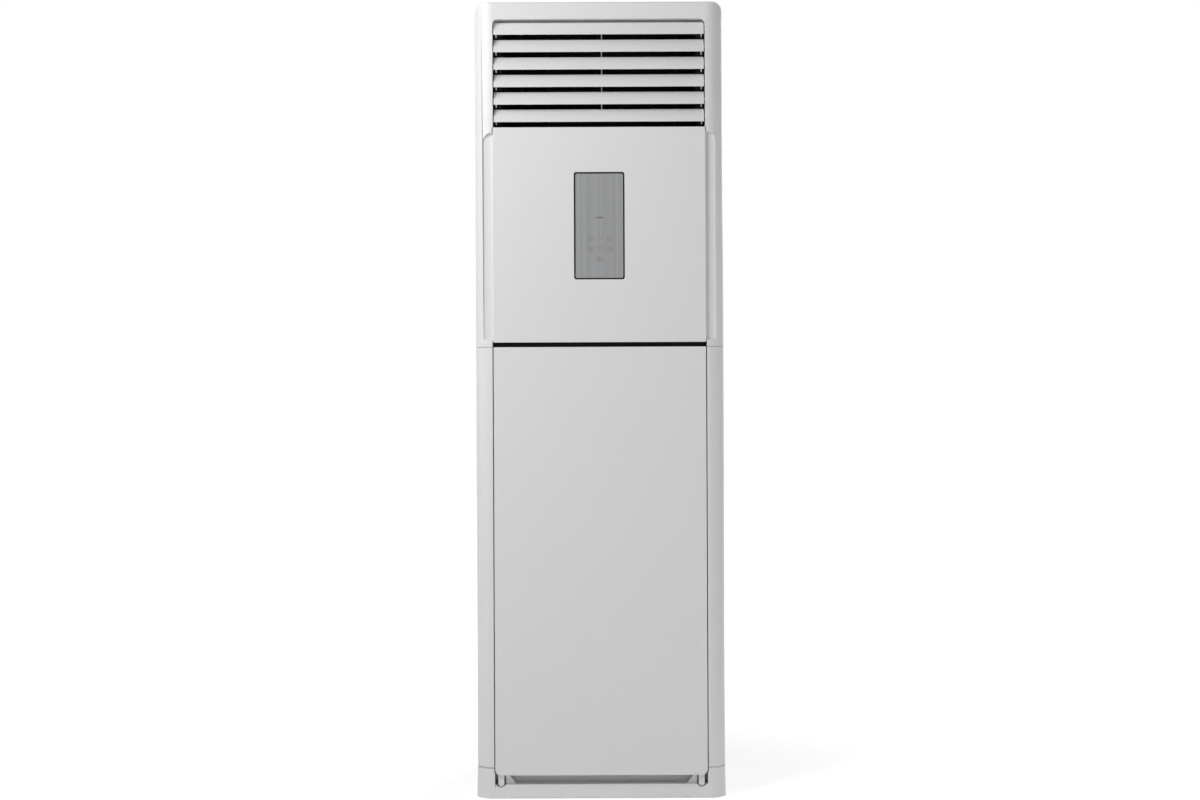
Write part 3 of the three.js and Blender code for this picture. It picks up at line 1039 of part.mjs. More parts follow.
// Drain pan under the coil, with its spout at the right.
const panY0 = PARTITION_Y + 4;
const panY1 = panY0 + PAN_DEEP;
const panLeft = -COIL_HALF - 12;
const panRight = COIL_HALF + 32;
const panWall = 2;
const pegX = COIL_HALF - 15;
const spoutX = COIL_HALF + 18;
const spoutY = panY1 - 20;
const drainPan = join(
  cut(box(panLeft, panRight, panY0, panY1, PAN_FLOOR, PAN_HIGH),
    box(panLeft + panWall, panRight - panWall, panY0 + panWall, panY1 - panWall, PAN_FLOOR + panWall,
        PAN_HIGH + CUT)),
  [-pegX, 0, pegX].map((x) => box(x - panWall, x + panWall, panY0 + 6, panY0 + 60, dividerTop + CLEAR,
      PAN_FLOOR + 1)),
  [-pegX / 2, pegX / 2].map((x) => box(x - panWall, x + panWall, panY0 + 50, panY0 + 54, PAN_FLOOR,
      PAN_HIGH)),
  barZ(spoutX, spoutY, SPOUT_R, PAN_FLOOR - 8, PAN_FLOOR + 1, 12));
part(cooling, "drain_pan", cut(drainPan, barZ(spoutX, spoutY, SPOUT_R - SKIN, PAN_FLOOR - 9,
    PAN_FLOOR + SKIN, 12)),
  foam());

// Refrigerant lines, down the right side to the pipe outlet.
const pipeStart = sheetX + SHEET_IN + CLEAR;
const onCoil = (y, z) => [COIL_Y + y * Math.cos(rad(COIL_LEAN)) + z * Math.sin(rad(COIL_LEAN)),
  COIL_Z - y * Math.sin(rad(COIL_LEAN)) + z * Math.cos(rad(COIL_LEAN))];
function line(x, y, port, outX, outZ, r, bendR) {
  const [portY, portZ] = port;
  return tube([[pipeStart, portY, portZ], [x, portY, portZ], [x, y, portZ], [x, y, outZ], [outX, y, outZ],
    [outX, PIPE_END, outZ]], r, bendR, 8);
}
part(cooling, "suction_pipe", line(SUCTION_X, SUCTION_Y, onCoil(33, 2.5), PIPE_X + PIPE_APART, PIPE_Z,
  SUCTION_R, 20), copper());
part(cooling, "liquid_pipe", line(LIQUID_X, LIQUID_Y, onCoil(24, COIL_LENGTH - 33), PIPE_X - PIPE_APART,
  PIPE_Z - PIPE_APART - 2, LIQUID_R, 13), copper());

// ---------------------------------------------------------------- air outlet
// Duct: comes up from the coil and turns forward to the outlet.
function ductShape(grow, over) {
  const s = new THREE.Shape();
  const low = DUCT_LOW - over;
  const mouth = DUCT_FRONT - over;
  s.moveTo(DUCT_KNEE - grow, low);
  s.lineTo(DUCT_BACK + grow, low);
  s.lineTo(DUCT_BACK + grow, DUCT_ROOF - DUCT_TURN);
  s.absarc(DUCT_BACK - DUCT_TURN, DUCT_ROOF - DUCT_TURN, DUCT_TURN + grow, 0, Math.PI / 2);
  s.lineTo(mouth, DUCT_ROOF + grow);
  s.lineTo(mouth, DUCT_FLOOR - grow);
  s.lineTo(DUCT_KNEE - KNEE_R, DUCT_FLOOR - grow);
  s.quadraticCurveTo(DUCT_KNEE - grow, DUCT_FLOOR - grow, DUCT_KNEE - grow, DUCT_FLOOR - KNEE_R);
  return s;
}
const vaneX = (i) => (i - (VANE_COUNT - 1) / 2) * VANE_PITCH;
const boreR = PIN_R + PIN_CLEAR;
const vaneBores = [];
for (let i = 0; i < VANE_COUNT; i++) {
  vaneBores.push(barZ(vaneX(i), VANE_AXIS, boreR, DUCT_FLOOR - DUCT_WALL - 1, DUCT_FLOOR + 1));
  vaneBores.push(barZ(vaneX(i), VANE_AXIS, boreR, DUCT_ROOF - 1, DUCT_ROOF + DUCT_WALL + 1));
}
const ductFlange = cut(
  box(-OUT_HALF - 8, OUT_HALF + 8, DUCT_FRONT, DUCT_FRONT + 3, OUT_LOW - 6, OUT_HIGH + 14),
  box(-DUCT_HALF, DUCT_HALF, DUCT_FRONT - 1, DUCT_FRONT + 4, OUT_LOW - 8, OUT_HIGH + 3));
const ductFoot = cut(
  box(-MOULD_HALF, MOULD_HALF, PARTITION_Y, DUCT_BACK - 10, DUCT_LOW, DUCT_LOW + 4),
  box(-DUCT_HALF, DUCT_HALF, DUCT_KNEE, DUCT_BACK, DUCT_LOW - 1, DUCT_LOW + 5),
  both(box(BODY_HALF - SIDE_FOLD - SKIN - CUT, BODY_HALF, FRAME_REAR - 2 * SKIN, FRAME_REAR + 4,
    DUCT_LOW - CUT, DUCT_LOW + 5)));
const crankBore = barZ(CRANK_X, VANE_AXIS, CRANK_R + CRANK_CLEAR, DUCT_FLOOR - DUCT_WALL - 1,
    DUCT_FLOOR + 1);
const duct = cut(
  join(alongX(ductShape(DUCT_WALL, 0), -DUCT_HALF - DUCT_WALL, DUCT_HALF + DUCT_WALL, 6), ductFlange,
      ductFoot),
  alongX(ductShape(0, 1), -DUCT_HALF, DUCT_HALF, 6), vaneBores, crankBore);
part(outlet, "outlet_duct", duct, foam());

// Louvre bearing strips beside the outlet.
const louvreZ = (i) => LOUVRE_TOP_Z - i * LOUVRE_PITCH;
const stripIn = OUT_HALF + CLEAR;
const strip = cut(
  box(stripIn, stripIn + BEARING_THICK, BEARING_FROM, COLLAR_REAR, BEARING_LOW + CLEAR,
      BEARING_HIGH - CLEAR),
  Array.from({ length: LOUVRE_COUNT }, (_, i) => barX(LOUVRE_AXIS, louvreZ(i), boreR, OUT_HALF,
      stripIn + BEARING_THICK + CUT)));
part(outlet, "right_louvre_bearing", strip, black());
part(outlet, "left_louvre_bearing", mirrorX(strip), black());

// Louvre: curved blade with end ears, pivot pins and an ear for the link bar.
function louvre(z, cornerR) {
  const half = LOUVRE_RISE / 2;
  const backY = LOUVRE_LIP + LOUVRE_BACK;
  const steps = 4;
  const front = [];
  const rear = [];
  for (let i = 0; i <= steps; i++) {
    const t = i / steps;
    const y = LOUVRE_LIP + LOUVRE_BACK * t - LOUVRE_BULGE * 4 * t * (1 - t);
    const up = -half + LOUVRE_RISE * t;
    front.push([y, z + up]);
    rear.push([y + LOUVRE_THICK, z + up + (t === 0 ? 0.6 : t === 1 ? -0.6 : 0)]);
  }
  let blade = alongX(polygon([...front, ...rear.reverse()].reverse()), -LOUVRE_HALF, LOUVRE_HALF);
  if (cornerR) {
    blade = blade.intersect(alongY(roundRect(-LOUVRE_HALF, z - half - 1, LOUVRE_HALF, z + half + 0.01,
      [0, 0, cornerR, cornerR]), LOUVRE_LIP - 9, backY + 9));
  }
  const bladeBlock = alongX(polygon([...front, [LOUVRE_AXIS + 4, z + half], [LOUVRE_AXIS + 4, z - half]]
    .reverse()), -LOUVRE_HALF, LOUVRE_HALF);
  const earShape = polygon([[LOUVRE_LIP + 6, z - half + 5], [LOUVRE_AXIS - 8, z - half - EAR_DROP],
    [LOUVRE_AXIS - 3, z - half - EAR_DROP], [LOUVRE_AXIS + 3.6, z - 3.6], [LOUVRE_AXIS + 3.6, z + 3.6],
    [backY + 3, z + half - 1.5], [backY - 3, z + half - 3]]);
  const ear = (x) => alongX(earShape, x - EAR_THICK / 2, x + EAR_THICK / 2)
    .intersect(bladeBlock.add(box(-OUT_HALF, OUT_HALF, LOUVRE_LIP + 6, LOUVRE_AXIS + 4,
        z - half - EAR_DROP, z + half)));
  const armX = LINK_X - LINK_WIDE / 2 - CLEAR - EAR_THICK;
  const arm = alongX(polygon([[LOUVRE_LIP + 8, z - 6], [LOUVRE_AXIS + LINK_ARM + 3, z - 3.2],
    [LOUVRE_AXIS + LINK_ARM + 3, z + 3.2], [backY - 3, z + 9], [LOUVRE_LIP + 8, z]]), armX,
        armX + EAR_THICK);
  const armCut = arm.intersect(join(bladeBlock, box(-50, 50, LOUVRE_LIP + 10, 0, z - 6, z + 8)));
  const pin = barX(LOUVRE_AXIS, z, PIN_R, EAR_X, stripIn + BEARING_THICK - 0.5);
  const linkPin = barX(LOUVRE_AXIS + LINK_ARM, z, LINK_PIN, armX + 1, LINK_X + LINK_WIDE / 2 + 1.5);
  return join(blade, both(ear(EAR_X)), both(pin), armCut, linkPin);
}
for (let i = 0; i < LOUVRE_COUNT; i++) {
  part(outlet, `louvre_${i + 1}`, louvre(louvreZ(i), i === 0 ? LOUVRE_CORNER : 0), white());
}
const linkTop = LOUVRE_TOP_Z + 7;
const linkEnd = louvreZ(LOUVRE_COUNT - 1) - 7;
const louvreLink = cut(
  box(LINK_X - LINK_WIDE / 2, LINK_X + LINK_WIDE / 2, LOUVRE_AXIS + LINK_ARM - LINK_DEEP / 2,
    LOUVRE_AXIS + LINK_ARM + LINK_DEEP / 2, linkEnd, linkTop),
  Array.from({ length: LOUVRE_COUNT }, (_, i) => barX(LOUVRE_AXIS + LINK_ARM, louvreZ(i),
      LINK_PIN + PIN_CLEAR,
    LINK_X - 3, LINK_X + 3)));
part(outlet, "louvre_link", louvreLink, white());

// Vertical vanes behind the louvres, their link bar, crank and motor.
const vaneFront = VANE_AXIS - VANE_AHEAD;
const vaneBack = vaneFront + VANE_CHORD;
const pinY = VANE_AXIS + VANE_ARM;
function vane(x) {
  const outline = polygon([[vaneFront, VANE_LOW], [pinY - 8, VANE_LOW], [pinY - 8, LINK_LOW + 9],
    [vaneBack, LINK_LOW + 9], [vaneBack, VANE_HIGH - VANE_CORNER], [vaneBack - VANE_CORNER, VANE_HIGH],
        [vaneFront, VANE_HIGH]]);
  const blade = alongX(outline, x - VANE_THICK / 2, x + VANE_THICK / 2);
  return join(blade,
    barZ(x, VANE_AXIS, PIN_R, DUCT_FLOOR - DUCT_WALL, VANE_LOW + 1),
    barZ(x, VANE_AXIS, PIN_R, VANE_HIGH - 1, DUCT_ROOF + DUCT_WALL),
    barZ(x, VANE_AXIS, VANE_FOOT, VANE_LOW, VANE_LOW + 5),
    box(x - 3, x + 3, pinY - 10, pinY + 3, LINK_LOW - 5, LINK_LOW - 2),
    barZ(x, pinY, VANE_PIN, LINK_LOW - 3, LINK_LOW + LINK_THICK + 2));
}
for (let i = 0; i < VANE_COUNT; i++) part(outlet, `vane_${i + 1}`, vane(vaneX(i)), black());
const vaneLink = cut(
  box(vaneX(0) - LINK_END, vaneX(VANE_COUNT - 1) + LINK_END, pinY - LINK_HALF, pinY + LINK_HALF,
    LINK_LOW, LINK_LOW + LINK_THICK),
  [...Array.from({ length: VANE_COUNT }, (_, i) => vaneX(i)), CRANK_X].map((x) =>
    barZ(x, pinY, VANE_PIN + PIN_CLEAR, LINK_LOW - CUT, LINK_LOW + LINK_THICK + CUT)));
part(outlet, "vane_link", vaneLink, black());
const crank = join(
  barZ(CRANK_X, VANE_AXIS, CRANK_R, DUCT_FLOOR - DUCT_WALL - SKIN, LINK_LOW - 5),
  box(CRANK_X - CRANK_R, CRANK_X + CRANK_R, VANE_AXIS - CRANK_R, pinY + CRANK_R, LINK_LOW - 9,
      LINK_LOW - 5),
  barZ(CRANK_X, pinY, VANE_PIN, LINK_LOW - 6, LINK_LOW + LINK_THICK + 2));
part(outlet, "vane_crank", crank, black());
const swingTop = DUCT_FLOOR - DUCT_WALL - CLEAR;
const swing = cut(
  join(barZ(CRANK_X, VANE_AXIS, SWING_R, swingTop - SWING_TALL, swingTop, 16),
    box(CRANK_X - SWING_R - 8, CRANK_X + SWING_R + 8, VANE_AXIS - 4, VANE_AXIS + 4, swingTop - SHEET_IN,
        swingTop)),
  barZ(CRANK_X, VANE_AXIS, CRANK_R + CRANK_CLEAR, swingTop - 6, swingTop + CUT));
part(outlet, "swing_motor", swing, zinc());

export default root;
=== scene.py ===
import bpy
import bmesh
import json
import math
from mathutils import Matrix, Vector


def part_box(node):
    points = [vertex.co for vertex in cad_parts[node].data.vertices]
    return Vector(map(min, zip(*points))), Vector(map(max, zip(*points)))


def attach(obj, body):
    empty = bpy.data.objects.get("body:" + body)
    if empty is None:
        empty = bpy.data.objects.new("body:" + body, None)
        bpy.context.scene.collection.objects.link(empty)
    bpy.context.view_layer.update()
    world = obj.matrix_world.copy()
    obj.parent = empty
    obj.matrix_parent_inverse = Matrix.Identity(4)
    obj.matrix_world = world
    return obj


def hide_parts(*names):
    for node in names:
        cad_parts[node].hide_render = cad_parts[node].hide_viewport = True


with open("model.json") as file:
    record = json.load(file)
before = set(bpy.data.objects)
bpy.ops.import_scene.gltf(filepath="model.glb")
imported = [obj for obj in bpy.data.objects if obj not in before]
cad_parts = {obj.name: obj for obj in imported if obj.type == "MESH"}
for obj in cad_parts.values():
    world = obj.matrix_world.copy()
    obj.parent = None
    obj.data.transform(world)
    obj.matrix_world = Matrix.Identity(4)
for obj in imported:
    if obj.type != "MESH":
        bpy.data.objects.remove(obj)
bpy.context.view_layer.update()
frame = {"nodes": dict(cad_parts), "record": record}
NODES = frame["nodes"]
SLOT_OF = {s["node"]: s["material_slot"] for s in frame["record"]["subparts"]}
scene = bpy.context.scene
scene.view_settings.view_transform = "Standard"

# ------------------------------------------------------------------ camera
CAM_DISTANCE = 4.5  # metres from the front face to the camera
FACE_Y = -0.222
CAM_Z = 0.9525  # half the cabinet's height
ROLL = -0.24  # degrees
LENS = 56.45
cam_data = bpy.data.cameras.new("camera")
cam_data.sensor_width = 36.0
cam_data.lens = LENS
cam_data.clip_end = 60.0
cam = bpy.data.objects.new("camera", cam_data)
scene.collection.objects.link(cam)
cam.matrix_world = (Matrix.Translation((0.0, FACE_Y - CAM_DISTANCE, CAM_Z))
                    @ Matrix.Rotation(math.radians(90), 4, "X")
                    @ Matrix.Rotation(math.radians(ROLL), 4, "Z"))
scene.camera = cam


# ------------------------------------------------------------------ node helpers
class Shade:
    """Small helper round a material's node tree."""

    def __init__(self, name):
        self.mat = bpy.data.materials.new(name)
        self.mat.use_nodes = True
        self.tree = self.mat.node_tree
        self.tree.nodes.clear()
        self.out = self.add("ShaderNodeOutputMaterial")
        self.bsdf = self.add("ShaderNodeBsdfPrincipled")
        self.link(self.bsdf.outputs[0], self.out.inputs[0])
        self.coord = self.add("ShaderNodeTexCoord").outputs["Object"]

    def add(self, kind, **settings):
        node = self.tree.nodes.new(kind)
        for key, value in settings.items():
            setattr(node, key, value)
        return node

    def link(self, a, b):
        self.tree.links.new(a, b)

    def place(self, scale):
        m = self.add("ShaderNodeMapping")
        self.link(self.coord, m.inputs[0])
        m.inputs["Scale"].default_value = scale
        return m.outputs[0]

    def noise(self, scale, detail=3.0, rough=0.5, vector=None):
        n = self.add("ShaderNodeTexNoise")
        self.link(vector or self.coord, n.inputs["Vector"])
        n.inputs["Scale"].default_value = scale
        n.inputs["Detail"].default_value = detail
        n.inputs["Roughness"].default_value = rough
        return n.outputs["Fac"]

    def spread(self, value, lo, hi, low_in=0.3, high_in=0.7):
        r = self.add("ShaderNodeMapRange")
        self.link(value, r.inputs["Value"])
        r.inputs["From Min"].default_value = low_in
        r.inputs["From Max"].default_value = high_in
        r.inputs["To Min"].default_value = lo
        r.inputs["To Max"].default_value = hi
        return r.outputs[0]

    def blend(self, value, a, b):
        m = self.add("ShaderNodeMix", data_type="RGBA")
        self.link(value, m.inputs["Factor"])
        m.inputs["A"].default_value = (*a, 1)
        m.inputs["B"].default_value = (*b, 1)
        return m.outputs["Result"]

    def bump(self, height, distance, strength=1.0, normal=None):
        b = self.add("ShaderNodeBump")
        self.link(height, b.inputs["Height"])
        b.inputs["Distance"].default_value = distance
        b.inputs["Strength"].default_value = strength
        if normal:
            self.link(normal, b.inputs["Normal"])
        return b.outputs[0]

    def set(self, **values):
        for key, value in values.items():
            socket = self.bsdf.inputs[key.replace("_", " ")]
            if isinstance(value, bpy.types.NodeSocket):
                self.link(value, socket)
            else:
                socket.default_value = value
        return self.mat


def moulded(name, colour, rough, grain=0.00003, uneven=0.012, gloss=0.5):
    """Moulded plastic: a fine grain, slow waves and a slightly uneven colour."""
    s = Shade(name)
    broad = s.noise(2.2, 2.0)
    fine = s.noise(1400.0, 2.0, 0.6)
    wave = s.noise(9.0, 2.0)
    a = tuple(c * (1 - uneven) for c in colour)
    b = tuple(min(1, c * (1 + uneven)) for c in colour)
    n = s.bump(fine, grain, 0.5)
    n = s.bump(wave, 0.0006, 0.10, n)
    return s.set(Base_Color=s.blend(broad, a, b),
                 Roughness=s.spread(s.noise(30.0), rough - 0.03, rough + 0.03),
                 Normal=n, Specular_IOR_Level=gloss)


def powder(name, colour, rough):
    """Sprayed coat with a faint orange peel."""
    s = Shade(name)
    peel = s.noise(420.0, 2.0, 0.5)
    a = tuple(c * 0.985 for c in colour)
    return s.set(Base_Color=s.blend(s.noise(3.0), a, colour),
                 Roughness=s.spread(s.noise(60.0), rough - 0.04, rough + 0.04),
                 Normal=s.bump(peel, 0.00005, 0.6))


def sheet_metal(name, colour, rough, spangle=140.0):
    """Bare metal with a spangled surface."""
    s = Shade(name)
    v = s.add("ShaderNodeTexVoronoi")
    s.link(s.coord, v.inputs["Vector"])
    v.inputs["Scale"].default_value = spangle
    a = tuple(c * 0.88 for c in colour)
    return s.set(Base_Color=s.blend(v.outputs["Distance"], a, colour), Metallic=1.0,
                 Roughness=s.spread(v.outputs["Distance"], rough - 0.06, rough + 0.08, 0.0, 1.0),
                 Normal=s.bump(s.noise(300.0), 0.00003, 0.4))


def brushed(name, colour, rough):
    """Vertical brushing under a clear coat."""
    s = Shade(name)
    streak = s.noise(1.0, 4.0, 0.7, s.place((420.0, 1.0, 2.2)))
    wide = s.noise(1.0, 3.0, 0.6, s.place((150.0, 1.0, 0.8)))
    a = tuple(c * 0.90 for c in colour)
    b = tuple(c * 1.10 for c in colour)
    tone = s.add("ShaderNodeMath", operation="MULTIPLY_ADD")
    s.link(streak, tone.inputs[0])
    tone.inputs[1].default_value = 0.55
    s.link(wide, tone.inputs[2])
    return s.set(Base_Color=s.blend(s.spread(tone.outputs[0], 0.0, 1.0, 0.55, 1.0), a, b),
                 Metallic=0.15, Roughness=s.spread(streak, rough - 0.05, rough + 0.05),
                 Normal=s.bump(streak, 0.00004, 0.4), Coat_Weight=0.3, Coat_Roughness=0.25)


def fins_with_painted_gap_shade(name, colour, rough):
    """Thin plates side by side, one every two millimetres or so, drawn as colour bands: the darker bands
    are painted shade in the gaps between the plates.
    """
    s = Shade(name)
    w = s.add("ShaderNodeTexWave", wave_type="BANDS", bands_direction="X")
    s.link(s.coord, w.inputs["Vector"])
    w.inputs["Scale"].default_value = 150.0
    # Darker colour of the bands: painted shade in the gaps between the plates, not a colour of the
    # metal.
    a = tuple(c * 0.55 for c in colour)
    return s.set(Base_Color=s.blend(w.outputs["Fac"], a, colour), Metallic=0.9,
                 Roughness=s.spread(s.noise(80.0), rough - 0.05, rough + 0.08),
                 Normal=s.bump(w.outputs["Fac"], 0.0004, 0.5))


MATERIALS = {
    "white_plastic": moulded("white_plastic", (0.80, 0.805, 0.81), 0.42),
    "white_sheet": powder("white_sheet", (0.76, 0.765, 0.77), 0.45),
    "black_plastic": moulded("black_plastic", (0.006, 0.006, 0.0065), 0.62, uneven=0.1, gloss=0.15),
    "window": brushed("window", (0.30, 0.305, 0.31), 0.42),
    "ink": moulded("ink", (0.17, 0.172, 0.175), 0.5),
    "zinc": sheet_metal("zinc", (0.40, 0.405, 0.41), 0.45),
    # Coil fins: aluminium with painted shade in the gaps between the fins.
    "aluminium": fins_with_painted_gap_shade("aluminium", (0.72, 0.73, 0.75), 0.35),
    "copper": sheet_metal("copper", (0.72, 0.36, 0.22), 0.28, spangle=300.0),
    "foam": moulded("foam", (0.02, 0.02, 0.022), 0.9, grain=0.0004, uneven=0.2),
    "motor": powder("motor", (0.05, 0.05, 0.055), 0.5),
    "board": powder("board", (0.04, 0.18, 0.07), 0.4),
    "filter_net": powder("filter_net", (0.12, 0.13, 0.14), 0.8),
}


# ------------------------------------------------------------------ CAD pieces
EDGE_WIDTH = 0.0008
EDGE_ANGLE = 32


def dress(obj, slot):
    """Gives a CAD piece its material, merges its flat facets and softens its edges."""
    obj.data.materials.clear()
    obj.data.materials.append(MATERIALS[slot])
    clean = obj.modifiers.new("clean", "DECIMATE")
    clean.decimate_type = "DISSOLVE"
    clean.angle_limit = math.radians(0.5)
    soft = obj.modifiers.new("soft", "BEVEL")
    soft.width = EDGE_WIDTH
    soft.segments = 3
    soft.limit_method = "ANGLE"
    soft.angle_limit = math.radians(EDGE_ANGLE)
    soft.harden_normals = True
    for p in obj.data.polygons:
        p.use_smooth = True
    smooth = obj.modifiers.new("normals", "WEIGHTED_NORMAL")
    smooth.keep_sharp = True


for node, obj in NODES.items():
    dress(obj, SLOT_OF[node])


# ------------------------------------------------------------------ small pieces made in mesh code
def piece(name, verts, faces, material_slot, body, smooth=False):
    me = bpy.data.meshes.new(name)
    me.from_pydata([tuple(v) for v in verts], [], faces)
    me.validate()
    bm = bmesh.new()
    bm.from_mesh(me)
    bmesh.ops.recalc_face_normals(bm, faces=bm.faces)
    bm.to_mesh(me)
    bm.free()
    me.materials.append(MATERIALS[material_slot])
    for p in me.polygons:
        p.use_smooth = smooth
    ob = bpy.data.objects.new(name, me)
    scene.collection.objects.link(ob)
    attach(ob, body)
    return ob


def side_vectors(normal):
    """Two directions that span the plane a screw or ring lies in."""
    n = Vector(normal).normalized()
    u = n.cross(Vector((0, 0, 1)) if abs(n.z) < 0.9 else Vector((0, 1, 0))).normalized()
    return n, u, n.cross(u)


# Screw heads, all as shares of the head's radius.
HEAD_HEIGHT = 0.46
HEAD_TOP_R = 0.74
CROSS_ARM, CROSS_HALF = 0.46, 0.10
CROSS_TAPER = 0.8
CROSS_FLOOR = 0.16


def screw_mesh(verts, faces, centre, normal, radius, turn):
    """Adds a pan-head screw with a cross recess to the lists."""
    n, u, v = side_vectors(normal)
    c = Vector(centre)
    sides = 24
    base = len(verts)
    rings = [(1.0, 0.0), (1.0, 0.18), (0.93, 0.34), (HEAD_TOP_R, HEAD_HEIGHT)]
    for k, (r, h) in enumerate(rings):
        for i in range(sides):
            a = 2 * math.pi * i / sides
            verts.append(c + (u * math.cos(a) + v * math.sin(a)) * radius * r + n * radius * h)
        if k:
            lo, hi = base + (k - 1) * sides, base + k * sides
            for i in range(sides):
                j = (i + 1) % sides
                faces.append((lo + i, lo + j, hi + j, hi + i))
    top = base + (len(rings) - 1) * sides
    arm, half = CROSS_ARM, CROSS_HALF
    cross = [(arm, -half), (arm, half), (half, half), (half, arm), (-half, arm), (-half, half),
             (-arm, half), (-arm, -half), (-half, -half), (-half, -arm), (half, -arm), (half, -half)]
    cross = [(x * math.cos(turn) - y * math.sin(turn), x * math.sin(turn) + y * math.cos(turn))
             for x, y in cross]
    rim = len(verts)
    for x, y in cross:
        verts.append(c + (u * x + v * y) * radius + n * radius * HEAD_HEIGHT)
    floor_from = len(verts)
    for x, y in cross:
        verts.append(c + (u * x + v * y) * radius * CROSS_TAPER + n * radius * CROSS_FLOOR)
    count = len(cross)
    for i in range(count):
        j = (i + 1) % count
        faces.append((rim + i, rim + j, floor_from + j, floor_from + i))
    faces.append(tuple(floor_from + i for i in range(count)))

    def nearest(i):
        """The point of the cross that lies nearest to the middle of an edge of the outer ring."""
        a = 2 * math.pi * (i + 0.5) / sides
        return min(range(count), key=lambda k: (cross[k][0] - HEAD_TOP_R * math.cos(a)) ** 2
                   + (cross[k][1] - HEAD_TOP_R * math.sin(a)) ** 2)

    # The top face fills the room between the outer ring and the cross.
    order = [nearest(i) for i in range(sides)]
    for i in range(sides):
        j = (i + 1) % sides
        faces.append((top + i, top + j, rim + order[i]))
        step = order[i]
        while step != order[j]:
            ahead = (step + 1) % count
            faces.append((top + j, rim + ahead, rim + step))
            step = ahead


def screws(name, places, normal, radius):
    """One mesh of many screw heads, each turned another way."""
    verts, faces = [], []
    for k, place in enumerate(places):
        screw_mesh(verts, faces, place, normal, radius, 0.4 + 0.9 * k)
    return piece(name, verts, faces, "zinc", "cabinet")


def ring(name, centre, normal, radius, thick, material_slot, sides=64, around=12):
    n, u, v = side_vectors(normal)
    c = Vector(centre)
    verts, faces = [], []
    for i in range(sides):
        a = 2 * math.pi * i / sides
        out = u * math.cos(a) + v * math.sin(a)
        for k in range(around):
            b = 2 * math.pi * k / around
            verts.append(c + out * (radius + thick * math.cos(b)) + n * thick * math.sin(b))
    for i in range(sides):
        for k in range(around):
            a, b = i * around, ((i + 1) % sides) * around
            faces.append((a + k, b + k, b + (k + 1) % around, a + (k + 1) % around))
    return piece(name, verts, faces, material_slot, "cabinet", True)


def slabs(name, boxes, material_slot, body):
    """One mesh of many small blocks, each given by its lowest and highest corner."""
    verts, faces = [], []
    for lo, hi in boxes:
        k = len(verts)
        for x in (lo[0], hi[0]):
            for y in (lo[1], hi[1]):
                for z in (lo[2], hi[2]):
                    verts.append((x, y, z))
        for f in ((0, 1, 3, 2), (4, 6, 7, 5), (0, 4, 5, 1), (2, 3, 7, 6), (0, 2, 6, 4), (1, 5, 7, 3)):
            faces.append(tuple(k + i for i in f))
    return piece(name, verts, faces, material_slot, body)


# Filter net: upright strands in front of level ones.
net_lo, net_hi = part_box("filter_mesh")
NET_PITCH = 0.0056
STRAND = 0.0007
STRAND_DEEP = STRAND * 0.7
net_y = (net_lo[1] + net_hi[1]) / 2
net_wide = net_hi[0] - net_lo[0]
net_tall = net_hi[2] - net_lo[2]
columns = int(net_wide / NET_PITCH)
rows = int(net_tall / NET_PITCH)
strands = []
for i in range(1, columns):
    x = net_lo[0] + net_wide * i / columns
    strands.append(((x - STRAND / 2, net_y - STRAND_DEEP, net_lo[2]),
                    (x + STRAND / 2, net_y, net_hi[2])))
for i in range(1, rows):
    z = net_lo[2] + net_tall * i / rows
    strands.append(((net_lo[0], net_y, z - STRAND / 2),
                    (net_hi[0], net_y + STRAND_DEEP, z + STRAND / 2)))
net = slabs("filter_net", strands, "filter_net", "filter")
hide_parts("filter_mesh")

# Screws of the rear panel, the wall bracket, the base and the inlet bulkhead.
SHEET_SCREW_R = 0.0038
BACKWARD = (0, 1, 0)
rear_lo, rear_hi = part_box("rear_panel")
rear_y = rear_hi[1]
EDGE_IN = 0.009  # from the rear panel's edge to its screws
END_IN = 0.03
GAPS = 6
rows_tall = rear_hi[2] - rear_lo[2] - 2 * END_IN
rear_rows = [rear_lo[2] + END_IN + rows_tall * k / GAPS for k in range(GAPS + 1)]
screws("rear_screws", [(s * (rear_hi[0] - EDGE_IN), rear_y, z) for z in rear_rows for s in (-1, 1)]
       + [(x, rear_y, z) for x in (-0.1, 0.1) for z in (rear_rows[0], rear_rows[-1])],
       BACKWARD, SHEET_SCREW_R)
bracket_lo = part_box("wall_bracket")[0]
screws("bracket_screws", [(s * 0.04, bracket_lo[1] + 0.0015, bracket_lo[2] + 0.016) for s in (-1, 1)],
       BACKWARD, 0.0042)
base_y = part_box("base_pan")[1][1]
screws("base_screws", [(x, base_y, 0.04) for x in (-0.22, 0.22, 0)], BACKWARD, SHEET_SCREW_R)
filter_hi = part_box("filter_frame")[1]
screws("bulkhead_screws", [(s * (filter_hi[0] + 0.026), filter_hi[1] + 0.0003, z) for s in (-1, 1)
                           for z in (0.12, 0.34, 0.56, 0.78, 0.93)], (0, -1, 0), 0.004)

# Grommet round the pipe outlet.
ring("pipe_grommet", (0.190, rear_y - 0.00075, 0.150), BACKWARD, 0.0442, 0.0021, "black_plastic")

# Touch keys on the display: thin printed marks.
INK_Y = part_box("display_window")[0][1] - 0.00012
PIXEL = 0.002388  # metres to one pixel of the photograph
PHOTO_FLOOR = 798.7  # its row at the floor
PHOTO_MIDDLE, MIDDLE_ROW, LEAN = 598.2, 20, 0.00458  # its middle column at a row, and the drift per row
MARK_LINE = 0.0009


def photo_point(px, py):
    return ((px - PHOTO_MIDDLE - (py - MIDDLE_ROW) * LEAN) * PIXEL, (PHOTO_FLOOR - py) * PIXEL)


def printed(name, outlines):
    """Flat marks on the window, one face to each outline."""
    verts, faces = [], []
    for outline in outlines:
        faces.append(tuple(range(len(verts), len(verts) + len(outline))))
        verts += [(x, INK_Y, z) for x, z in outline]
    return piece(name, verts, faces, "ink", "cabinet")


def arc(cx, cz, r, start, end, steps=18):
    angles = [math.radians(start + (end - start) * i / steps) for i in range(steps + 1)]
    return [(cx + r * math.cos(a), cz + r * math.sin(a)) for a in angles]


